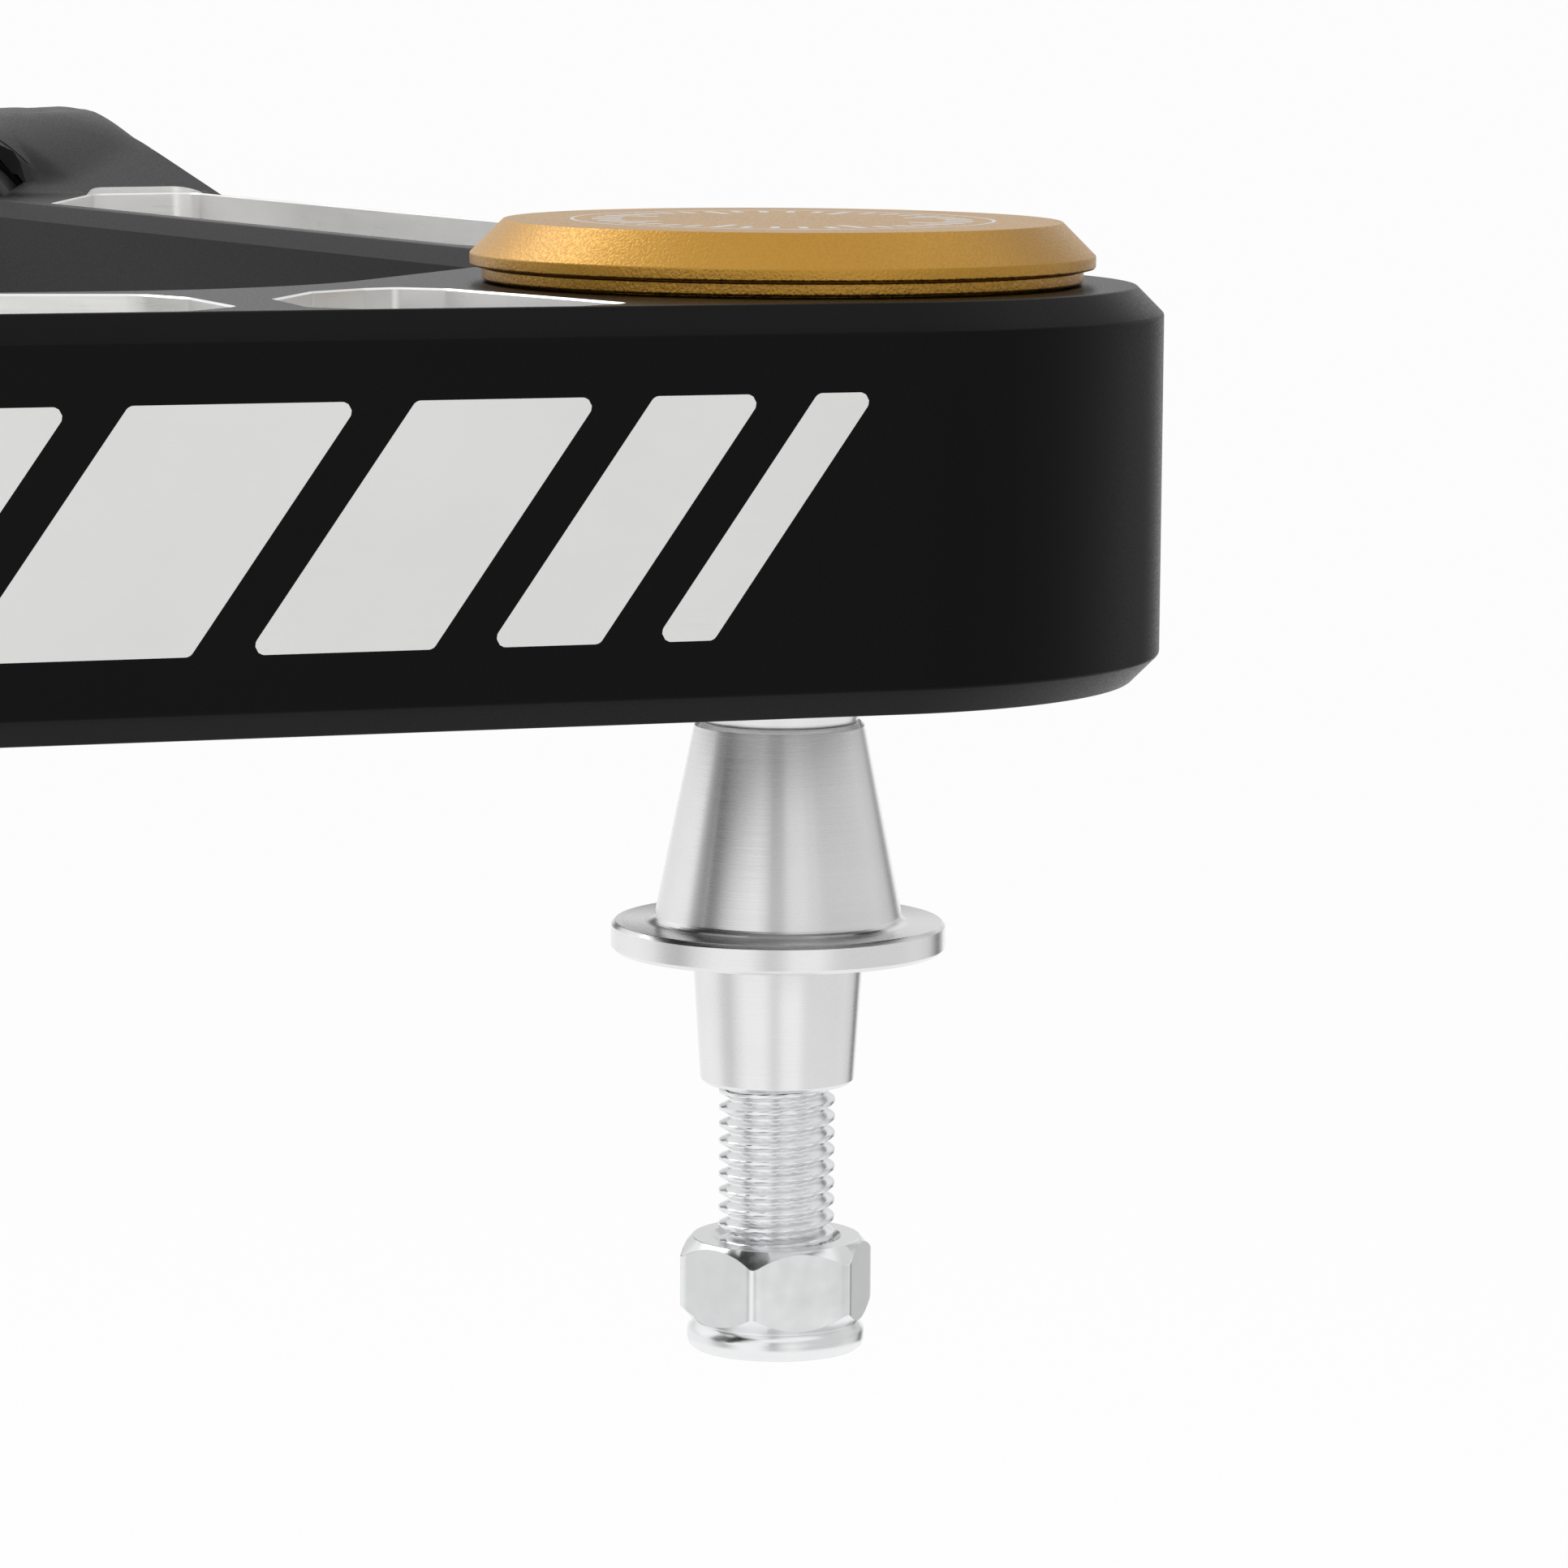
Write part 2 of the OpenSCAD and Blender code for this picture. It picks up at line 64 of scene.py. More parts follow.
def addMesh(name, points, faces, finish, place=None):
    mesh = bpy.data.meshes.new(name)
    mesh.from_pydata([Vector(p) * mm for p in points], [], faces)
    work = bmesh.new()
    work.from_mesh(mesh)
    bmesh.ops.remove_doubles(work, verts=work.verts, dist=1e-7)
    bmesh.ops.recalc_face_normals(work, faces=work.faces)
    work.to_mesh(mesh)
    work.free()
    obj = bpy.data.objects.new(name, mesh)
    bpy.context.scene.collection.objects.link(obj)
    if place is not None:
        obj.matrix_world = place
    mesh.materials.append(finish)
    return obj


def softShade(obj, angle=32):
    mesh = obj.data
    mesh.polygons.foreach_set("use_smooth", [True] * len(mesh.polygons))
    mesh.set_sharp_from_angle(angle=math.radians(angle))
    weigh = obj.modifiers.new("weighted", "WEIGHTED_NORMAL")
    weigh.keep_sharp = True
    weigh.weight = 80
    return obj


def settle(obj, node=None, body=None):
    # the last step for a piece: shade it, let it ride, hide what it stands for
    softShade(obj)
    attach(obj, body or bodyOf[node])
    if node:
        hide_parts(node)
    return obj


def roundCorners(points, radius, steps=3, onAxis=False):
    # each corner becomes a short arc; with onAxis, corners on the turning axis stay sharp
    count, out = len(points), []
    straight = 0.12                      # radians: a flatter corner is left alone
    share = 0.42                         # the most of a side that one arc takes
    for i, p in enumerate(points):
        p = Vector(p)
        a, b = Vector(points[i - 1]), Vector(points[(i + 1) % count])
        u, v = a - p, b - p
        turnAngle = u.angle(v, math.pi)
        sharp = math.pi - turnAngle
        if sharp < straight or radius <= 0 or (onAxis and abs(p.x) < 1e-6):
            out.append(tuple(p))
            continue
        back = min(radius / math.tan(turnAngle / 2), share * u.length, share * v.length)
        r = back * math.tan(turnAngle / 2)
        middle = (u.normalized() + v.normalized()).normalized()
        centre = p + middle * (r / math.sin(turnAngle / 2))
        q0, q1 = p + u.normalized() * back - centre, p + v.normalized() * back - centre
        for k in range(steps + 1):
            w = q0 * (steps - k) + q1 * k
            out.append(tuple(centre + w.normalized() * r))
    return out


def insetLoop(loop, amount):
    # moves a closed counter-clockwise loop inward by amount
    out, count = [], len(loop)
    for i, p in enumerate(loop):
        p = Vector(p)
        a = (p - Vector(loop[i - 1])).normalized()
        b = (Vector(loop[(i + 1) % count]) - p).normalized()
        na, nb = Vector((-a.y, a.x)), Vector((-b.y, b.x))
        m = (na + nb).normalized()
        out.append(tuple(p + m * (amount / max(m.dot(na), 0.3))))
    return out


def loftLoops(loops, heights):
    # closed solid through loops of equal point count, one at each height
    count = len(loops[0])
    points = [(x, y, z) for loop, z in zip(loops, heights) for x, y in loop]
    faces = [tuple(range(count - 1, -1, -1))]
    for row in range(len(loops) - 1):
        base = row * count
        for i in range(count):
            j = (i + 1) % count
            faces.append((base + i, base + j, base + count + j, base + count + i))
    faces.append(tuple((len(loops) - 1) * count + i for i in range(count)))
    return points, faces


def spin(name, outline, finish, place, segments=128, rounding=0.15, wave=None):
    # turned piece about its own Z axis from a closed [radius, height] outline
    rows = roundCorners(outline, rounding, onAxis=True)
    points, rings = [], []
    for r, z in rows:
        if abs(r) < 1e-6:
            rings.append([len(points)])
            points.append((0, 0, z))
            continue
        ring = []
        for k in range(segments):
            t = 2 * math.pi * k / segments
            rr, zz = wave(t, r, z) if wave else (r, z)
            ring.append(len(points))
            points.append((rr * math.cos(t), rr * math.sin(t), zz))
        rings.append(ring)
    faces = []
    for i, ring in enumerate(rings):
        following = rings[(i + 1) % len(rings)]
        if len(ring) == 1 and len(following) == 1:
            continue
        for k in range(segments):
            j = (k + 1) % segments
            if len(ring) == 1:
                faces.append((ring[0], following[j], following[k]))
            elif len(following) == 1:
                faces.append((ring[k], ring[j], following[0]))
            else:
                faces.append((ring[k], ring[j], following[j], following[k]))
    return addMesh(name, points, faces, finish, place)


def carve(target, tool, operation="DIFFERENCE"):
    cut = target.modifiers.new("carve", "BOOLEAN")
    cut.operation, cut.object, cut.solver = operation, tool, "EXACT"
    cut.material_mode = "TRANSFER"
    bpy.context.view_layer.update()
    graph = bpy.context.evaluated_depsgraph_get()
    result = bpy.data.meshes.new_from_object(target.evaluated_get(graph))
    target.modifiers.clear()
    target.data = result
    bpy.data.objects.remove(tool)


# camera

cameraView = {
    "target": (0, 185, -5),      # bearing centre, mm
    "azimuth": 20.5,             # degrees from +X towards +Y
    "distance": 633,             # mm from the pin's axis, level
    "height": 54.3,              # mm above the bearing centre
    "pitch": 7.711,              # degrees down
    "frameWidth": 1932,          # pixels
    "focalPixels": 7673,
    "panPixels": 6,
    "roll": 0.4,                 # degrees
    "film": 36,                  # mm
    "nearest": 0.01, "furthest": 400,
}


def makeCamera():
    v = cameraView
    a = math.radians(v["azimuth"])
    spot = Vector(v["target"]) + Vector((
        math.cos(a) * v["distance"], math.sin(a) * v["distance"], v["height"]))
    heading = a + math.pi - v["panPixels"] / v["focalPixels"]
    pitch = math.radians(v["pitch"])
    ahead = Vector((math.cos(heading) * math.cos(pitch),
                    math.sin(heading) * math.cos(pitch), -math.sin(pitch)))
    right = ahead.cross(Vector((0, 0, 1))).normalized()
    up = right.cross(ahead)
    roll = math.radians(v["roll"])
    right, up = (right * math.cos(roll) + up * math.sin(roll),
                 up * math.cos(roll) - right * math.sin(roll))
    data = bpy.data.cameras.new("studioCamera")
    data.sensor_width = v["film"]
    data.lens = v["film"] * v["focalPixels"] / v["frameWidth"]
    data.clip_start, data.clip_end = v["nearest"], v["furthest"]
    camera = bpy.data.objects.new("studioCamera", data)
    bpy.context.scene.collection.objects.link(camera)
    turn = Matrix((right, up, -ahead)).transposed().to_4x4()
    camera.matrix_world = Matrix.Translation(spot * mm) @ turn
    bpy.context.scene.camera = camera


makeCamera()
print("camera placed")


# effects shared by several finishes

def newGroup(name, inputs, outputs):
    group = bpy.data.node_groups.new(name, "ShaderNodeTree")
    for label, kind, value in inputs:
        socket = group.interface.new_socket(label, in_out="INPUT", socket_type=kind)
        if value is not None:
            socket.default_value = value
    for label, kind in outputs:
        group.interface.new_socket(label, in_out="OUTPUT", socket_type=kind)
    return group, group.nodes.new("NodeGroupInput"), group.nodes.new("NodeGroupOutput")


def addMath(tree, operation, first, second=None, clamp=False):
    node = tree.nodes.new("ShaderNodeMath")
    node.operation, node.use_clamp = operation, clamp
    for slot, value in enumerate((first, second)):
        if value is None:
            continue
        if isinstance(value, (int, float)):
            node.inputs[slot].default_value = value
        else:
            tree.links.new(value, node.inputs[slot])
    return node.outputs[0]


def makeGrainGroup():
    # fine even speckle, as bead blasting or moulding leaves
    group, start, end = newGroup(
        "fineGrain",
        [("Vector", "NodeSocketVector", None), ("Grain Size mm", "NodeSocketFloat", 0.2),
         ("Contrast", "NodeSocketFloat", 1.0)],
        [("Mask", "NodeSocketFloat")])
    links = group.links
    scale = addMath(group, "DIVIDE", 1000.0, start.outputs["Grain Size mm"])
    noise = group.nodes.new("ShaderNodeTexNoise")
    noise.inputs["Detail"].default_value = 3
    links.new(start.outputs["Vector"], noise.inputs["Vector"])
    links.new(scale, noise.inputs["Scale"])
    centred = addMath(group, "SUBTRACT", noise.outputs["Fac"], 0.5)
    spread = addMath(group, "MULTIPLY", centred, start.outputs["Contrast"])
    links.new(addMath(group, "ADD", spread, 0.5, True), end.inputs["Mask"])
    return group


def makeTurnedGroup():
    # rings left by a lathe about the piece's own Z axis
    group, start, end = newGroup(
        "turnedRings",
        [("Vector", "NodeSocketVector", None), ("Ring Width mm", "NodeSocketFloat", 0.12),
         ("Waver", "NodeSocketFloat", 0.15)],
        [("Mask", "NodeSocketFloat")])
    links = group.links
    split = group.nodes.new("ShaderNodeSeparateXYZ")
    links.new(start.outputs["Vector"], split.inputs[0])
    square = addMath(group, "ADD",
                     addMath(group, "MULTIPLY", split.outputs[0], split.outputs[0]),
                     addMath(group, "MULTIPLY", split.outputs[1], split.outputs[1]))
    radius = addMath(group, "SQRT", square)
    angle = addMath(group, "ARCTAN2", split.outputs[1], split.outputs[0])
    scale = addMath(group, "DIVIDE", 1000.0, start.outputs["Ring Width mm"])
    join = group.nodes.new("ShaderNodeCombineXYZ")
    links.new(addMath(group, "MULTIPLY", radius, scale), join.inputs[0])
    links.new(addMath(group, "MULTIPLY", split.outputs[2], scale), join.inputs[1])
    links.new(addMath(group, "MULTIPLY", addMath(group, "SINE", angle),
                      start.outputs["Waver"]), join.inputs[2])
    noise = group.nodes.new("ShaderNodeTexNoise")
    noise.inputs["Scale"].default_value = 1
    noise.inputs["Detail"].default_value = 2
    links.new(join.outputs[0], noise.inputs["Vector"])
    links.new(noise.outputs["Fac"], end.inputs["Mask"])
    return group


def makeBrushedGroup():
    # long fine scratches along a direction set by the stretch
    group, start, end = newGroup(
        "brushedLines",
        [("Vector", "NodeSocketVector", None), ("Stretch", "NodeSocketVector", (1, 1, 40)),
         ("Line Width mm", "NodeSocketFloat", 0.3)],
        [("Mask", "NodeSocketFloat")])
    links = group.links
    scale = addMath(group, "DIVIDE", 1000.0, start.outputs["Line Width mm"])
    stretch = group.nodes.new("ShaderNodeVectorMath")
    stretch.operation = "DIVIDE"
    links.new(start.outputs["Vector"], stretch.inputs[0])
    links.new(start.outputs["Stretch"], stretch.inputs[1])
    noise = group.nodes.new("ShaderNodeTexNoise")
    noise.inputs["Detail"].default_value = 3
    links.new(stretch.outputs[0], noise.inputs["Vector"])
    links.new(scale, noise.inputs["Scale"])
    links.new(noise.outputs["Fac"], end.inputs["Mask"])
    return group


def makeMottleGroup():
    # slow drift between two shades, as plating and handling give
    group, start, end = newGroup(
        "slowMottle",
        [("Vector", "NodeSocketVector", None), ("Patch Size mm", "NodeSocketFloat", 12.0),
         ("Light Shade", "NodeSocketColor", (1, 1, 1, 1)),
         ("Dark Shade", "NodeSocketColor", (0.8, 0.8, 0.8, 1))],
        [("Colour", "NodeSocketColor"), ("Mask", "NodeSocketFloat")])
    links = group.links
    scale = addMath(group, "DIVIDE", 1000.0, start.outputs["Patch Size mm"])
    noise = group.nodes.new("ShaderNodeTexNoise")
    noise.inputs["Detail"].default_value = 4
    links.new(start.outputs["Vector"], noise.inputs["Vector"])
    links.new(scale, noise.inputs["Scale"])
    mix = group.nodes.new("ShaderNodeMix")
    mix.data_type = "RGBA"
    links.new(noise.outputs["Fac"], mix.inputs["Factor"])
    links.new(start.outputs["Dark Shade"], mix.inputs[6])
    links.new(start.outputs["Light Shade"], mix.inputs[7])
    links.new(mix.outputs[2], end.inputs["Colour"])
    links.new(noise.outputs["Fac"], end.inputs["Mask"])
    return group


grainGroup = makeGrainGroup()
turnedGroup = makeTurnedGroup()
brushedGroup = makeBrushedGroup()
mottleGroup = makeMottleGroup()


class Finish:
    # one material being put together: a Principled shader fed by shared effects
    def __init__(self, name, **settings):
        self.material = bpy.data.materials.new(name)
        self.material.use_nodes = True
        self.tree = self.material.node_tree
        self.shader = self.tree.nodes["Principled BSDF"]
        for label, value in settings.items():
            self.shader.inputs[label.replace("_", " ")].default_value = value
        self.coords = self.tree.nodes.new("ShaderNodeTexCoord").outputs["Object"]

    def effect(self, group, **values):
        node = self.tree.nodes.new("ShaderNodeGroup")
        node.node_tree = group
        self.tree.links.new(self.coords, node.inputs["Vector"])
        for label, value in values.items():
            node.inputs[label.replace("_", " ")].default_value = value
        return node

    def roughness(self, mask, low, high):
        spread = self.tree.nodes.new("ShaderNodeMapRange")
        spread.inputs["From Min"].default_value = 0.25
        spread.inputs["From Max"].default_value = 0.75
        spread.inputs["To Min"].default_value = low
        spread.inputs["To Max"].default_value = high
        self.tree.links.new(mask, spread.inputs["Value"])
        self.tree.links.new(spread.outputs[0], self.shader.inputs["Roughness"])

    def colour(self, socket):
        self.tree.links.new(socket, self.shader.inputs["Base Color"])

    def bump(self, mask, depthMm, strength):
        bump = self.tree.nodes.new("ShaderNodeBump")
        bump.inputs["Strength"].default_value = strength
        bump.inputs["Distance"].default_value = depthMm * mm
        self.tree.links.new(mask, bump.inputs["Height"])
        self.tree.links.new(bump.outputs[0], self.shader.inputs["Normal"])

    def lathed(self, amount, turns):
        # stretches the highlights across the lathe's rings
        tangent = self.tree.nodes.new("ShaderNodeTangent")
        tangent.direction_type, tangent.axis = "RADIAL", "Z"
        self.tree.links.new(tangent.outputs[0], self.shader.inputs["Tangent"])
        self.shader.inputs["Anisotropic"].default_value = amount
        self.shader.inputs["Anisotropic Rotation"].default_value = turns


def shade(r, g, b):
    return (r, g, b, 1)


def makeBlackAnodised():
    f = Finish("blackAnodised", Metallic=0.0, Specular_IOR_Level=0.09)
    mottle = f.effect(mottleGroup, Patch_Size_mm=30.0,
                      Light_Shade=shade(0.0022, 0.0022, 0.0023),
                      Dark_Shade=shade(0.0015, 0.0015, 0.0016))
    grain = f.effect(grainGroup, Grain_Size_mm=0.25, Contrast=1.6)
    f.colour(mottle.outputs["Colour"])
    f.roughness(grain.outputs["Mask"], low=0.27, high=0.39)
    f.bump(grain.outputs["Mask"], depthMm=0.012, strength=0.35)
    return f.material


def makeBareAluminium():
    f = Finish("bareAluminium", Metallic=1.0)
    mottle = f.effect(mottleGroup, Patch_Size_mm=9.0,
                      Light_Shade=shade(0.93, 0.925, 0.915),
                      Dark_Shade=shade(0.84, 0.84, 0.835))
    lines = f.effect(brushedGroup, Stretch=(30, 30, 1), Line_Width_mm=0.25)
    f.colour(mottle.outputs["Colour"])
    f.roughness(lines.outputs["Mask"], low=0.26, high=0.38)
    f.bump(lines.outputs["Mask"], depthMm=0.006, strength=0.25)
    return f.material


def makeEtchedSilver():
    f = Finish("etchedSilver", Metallic=0.35)
    mottle = f.effect(mottleGroup, Patch_Size_mm=16.0,
                      Light_Shade=shade(0.7, 0.695, 0.69),
                      Dark_Shade=shade(0.64, 0.64, 0.635))
    lines = f.effect(brushedGroup, Stretch=(24, 24, 1), Line_Width_mm=0.22)
    f.colour(mottle.outputs["Colour"])
    f.roughness(lines.outputs["Mask"], low=0.34, high=0.55)
    f.bump(lines.outputs["Mask"], depthMm=0.01, strength=0.25)
    return f.material


def makeGoldAnodised():
    f = Finish("goldAnodised", Metallic=1.0, Coat_Weight=0.3, Coat_Roughness=0.3)
    mottle = f.effect(mottleGroup, Patch_Size_mm=18.0,
                      Light_Shade=shade(0.52, 0.28, 0.042),
                      Dark_Shade=shade(0.44, 0.225, 0.028))
    grain = f.effect(grainGroup, Grain_Size_mm=0.3, Contrast=2.4)
    f.colour(mottle.outputs["Colour"])
    f.roughness(grain.outputs["Mask"], low=0.3, high=0.5)
    f.bump(grain.outputs["Mask"], depthMm=0.05, strength=0.6)
    return f.material


def makeTurnedSteel(name="turnedSteel", low=0.22, high=0.3, bright=0.89):
    f = Finish(name, Metallic=1.0)
    dim = 0.08                           # how much darker the other shade is
    mottle = f.effect(mottleGroup, Patch_Size_mm=7.0,
                      Light_Shade=shade(bright, bright, bright),
                      Dark_Shade=shade(bright - dim, bright - dim, bright - dim + 0.005))
    rings = f.effect(turnedGroup, Ring_Width_mm=0.09, Waver=0.3)
    f.colour(mottle.outputs["Colour"])
    f.roughness(rings.outputs["Mask"], low, high)
    f.bump(rings.outputs["Mask"], depthMm=0.0013, strength=0.25)
    f.lathed(amount=0.85, turns=0.25)
    return f.material


def makeBrightZinc():
    f = Finish("brightZinc", Metallic=1.0)
    mottle = f.effect(mottleGroup, Patch_Size_mm=2.5,
                      Light_Shade=shade(0.93, 0.935, 0.94),
                      Dark_Shade=shade(0.82, 0.825, 0.835))
    grain = f.effect(grainGroup, Grain_Size_mm=0.9, Contrast=1.2)
    f.colour(mottle.outputs["Colour"])
    f.roughness(mottle.outputs["Mask"], low=0.15, high=0.29)
    f.bump(grain.outputs["Mask"], depthMm=0.01, strength=0.25)
    return f.material


def makeMatt(name, light, dark, low, high, grainMm, bumpMm, specular=0.5):
    f = Finish(name, Specular_IOR_Level=specular)
    mottle = f.effect(mottleGroup, Patch_Size_mm=8.0, Light_Shade=light, Dark_Shade=dark)
    grain = f.effect(grainGroup, Grain_Size_mm=grainMm, Contrast=1.5)
    f.colour(mottle.outputs["Colour"])
    f.roughness(grain.outputs["Mask"], low, high)
    f.bump(grain.outputs["Mask"], depthMm=bumpMm, strength=0.5)
    return f.material


blackAnodised = makeBlackAnodised()
bareAluminium = makeBareAluminium()
etchedSilver = makeEtchedSilver()
goldAnodised = makeGoldAnodised()
turnedSteel = makeTurnedSteel()
polishedSteel = makeTurnedSteel("polishedSteel", low=0.04, high=0.1, bright=0.76)
brightZinc = makeBrightZinc()
springSteel = makeMatt("springSteel", shade(0.06, 0.06, 0.065), shade(0.035, 0.035, 0.04),
                       low=0.3, high=0.5, grainMm=0.4, bumpMm=0.02, specular=0.8)
blackAcetal = makeMatt("blackAcetal", shade(0.022, 0.022, 0.024), shade(0.014, 0.014, 0.015),
                       low=0.35, high=0.55, grainMm=0.3, bumpMm=0.02)
sealRubber = makeMatt("sealRubber", shade(0.02, 0.02, 0.02), shade(0.012, 0.012, 0.012),
                      low=0.5, high=0.7, grainMm=0.25, bumpMm=0.03)
naturalNylon = makeMatt("naturalNylon", shade(0.75, 0.8, 0.84), shade(0.62, 0.68, 0.74),
                        low=0.3, high=0.45, grainMm=0.5, bumpMm=0.02)
linerFabric = makeMatt("linerFabric", shade(0.5, 0.36, 0.2), shade(0.3, 0.21, 0.11),
                       low=0.5, high=0.8, grainMm=0.35, bumpMm=0.04)
print("finishes made")


# arm

armSizes = {
    "ballY": 185, "armDrop": 5, "pivotX": 180, "thickness": 40, "legWidth": 39,
    "bossRadius": 38.7, "crotchY": 41.2, "webRadius": 37, "chamfer": 2.8, "innerChamfer": 2,
    "edgeRounding": 0.5,
    "barrelRadius": 25.5, "barrelWidth": 46, "barrelBore": 19, "barrelChamfer": 2.2,
    "boreEase": 1.4,             # the bore's own chamfer
    # how far the barrel's back has dropped, by distance from its outer end
    "barrelEase": ((14, 0), (10, 0.3), (6, 0.9), (3, 1.6)), "barrelLastDrop": 0.4,
    "rampInset": 0.15, "rampFoot": 40, "rampCrown": 7.7, "rampBlend": 5, "rampLead": 4,
    "rampRun": 26, "rampShoulder": 15, "rampEdge": 0.6, "rampEnd": 310,
    "endFall": 17, "endDrop": 2.4, "endTrim": 0.13,
    "reliefRadius": 24.5, "reliefLength": 40, "reliefEase": 0.8, "reliefFoot": 76,
    "reliefFootHigh": 0.97,      # of the relief's radius
    "pocketRim": 3.2, "pocketWall": 4.5, "pocketDepth": 14, "pocketEnd": 37.4,
    "pocketLip": 0.2, "pocketFillet": 2.2, "pocketEase": 0.3,
    "nippleSeat": 0.9, "nippleHole": 2.9, "nippleHoleDepth": 9, "nippleSpot": 5.25,
}
bearingPlace = placeAt(0, armSizes["ballY"], -armSizes["armDrop"])
nippleY = armSizes["nippleSeat"] - armSizes["barrelRadius"]

# the stepped hole for the bearing and the cap, from below to above
boreSizes = {
    "seat": 22.25, "raceTop": 10.1, "lip": 20.2, "mouth": 21.9, "mouthDepth": 0.7,
    "groove": 24, "grooveWidth": 1.7, "recess": 28, "recessDepth": 7.4,
    "recessChamfer": 1.5, "chamferDepth": 0.25, "past": 1,
}


def legFrame():
    # direction along a leg and across it (outward), from the bearing centre
    s = armSizes
    middle = s["bossRadius"] - s["legWidth"] / 2
    reach = math.hypot(s["pivotX"], s["ballY"])
    angle = math.atan2(s["pivotX"], s["ballY"]) - math.asin(middle / reach)
    return (angle, Vector((math.sin(angle), -math.cos(angle))),
            Vector((math.cos(angle), math.sin(angle))))


legAngle, legAlong, legAcross = legFrame()
endX = armSizes["pivotX"] + armSizes["barrelWidth"] / 2 - armSizes["barrelChamfer"] - 0.3
sideIn = armSizes["bossRadius"] - armSizes["legWidth"]


def arcPoints(centre, radius, start, stop, count):
    return [Vector((centre[0] + radius * math.cos(start + (stop - start) * i / count),
                    centre[1] + radius * math.sin(start + (stop - start) * i / count)))
            for i in range(count + 1)]


def plateLoop(inset):
    # the arm's plan seen from above, every side moved in by inset, the inner ones by less
    s = armSizes
    boss, web, foot = s["bossRadius"], s["webRadius"], -s["ballY"] - 2
    tuck = max(0, inset - s["chamfer"] + s["innerChamfer"])
    low = -s["crotchY"] - web
    webX = (sideIn - web - low * math.sin(legAngle)) / math.cos(legAngle)
    outer = legAcross * (boss - inset)
    outer = outer + legAlong * ((endX - inset - outer.x) / legAlong.x)
    inner = legAcross * (sideIn + tuck)
    inner = inner + legAlong * ((foot - inner.y) / legAlong.y)
    half = math.pi
    loop = [outer]
    loop += arcPoints((0, 0), boss - inset, legAngle, half - legAngle, 96)
    loop += [Vector((-outer.x, outer.y)), Vector((inset - endX, foot)), Vector((-inner.x, foot))]
    loop += arcPoints((-webX, low), web + tuck, half - legAngle, half / 2, 20)
    loop += arcPoints((webX, low), web + tuck, half / 2, legAngle, 20)
    loop += [Vector((inner.x, foot)), Vector((endX - inset, foot))]
    return [(p.x, p.y + s["ballY"]) for p in loop]


def legAt(y):
    # place along a leg whose outer side lies y outboard of the pivot axis
    s = armSizes
    return ((s["ballY"] + s["bossRadius"] * math.sin(legAngle) - y) / math.cos(legAngle))


def makePlate():
    s = armSizes
    half, c = s["thickness"] / 2, s["chamfer"]
    edge = roundCorners([(20, -half), (c, -half), (0, c - half), (0, half - c), (c, half),
                         (20, half)], s["edgeRounding"], steps=2)
    split = c - s["innerChamfer"]            # where the narrower inner chamfer begins
    edge = [(k, z) for k, z in edge if k < c + 1.5]
    edge = sorted(edge + [(split, half - s["innerChamfer"]), (split, s["innerChamfer"] - half)],
                  key=lambda row: row[1])
    points, faces = loftLoops([plateLoop(k) for k, z in edge],
                              [z - s["armDrop"] for k, z in edge])
    return addMesh("controlArm", points, faces, blackAnodised)


def rampHeight(along, across, path):
    # the ramp's own height, blended softly into the barrel's round back
    s = armSizes
    i = max(k for k in range(len(path) - 1) if path[k][0] <= along)
    (s0, z0), (s1, z1) = path[i], path[i + 1]
    q = legAlong * along + legAcross * across
    fall = max(0, q.x - endX + s["endFall"]) / s["endFall"]
    rise = z0 + (z1 - z0) * (along - s0) / (s1 - s0) - s["endDrop"] * fall * fall
    y = q.y + s["ballY"]
    start = s["pivotX"] - s["barrelWidth"] / 2
    if abs(y) > 24 or q.x < start:              # clear of the barrel's crown, or short of it
        return rise
    back = math.sqrt((s["barrelRadius"] - 0.08) ** 2 - y ** 2)   # a hair inside the barrel
    soft = s["rampBlend"] * min(1, (q.x - start) / 6)            # grows over the first 6 mm
    if soft < 0.05:
        return rise
    gap = max(soft - abs(rise - back), 0) / soft
    return min(max(rise, back) + gap * gap * soft / 4, max(path[-1][1], back))


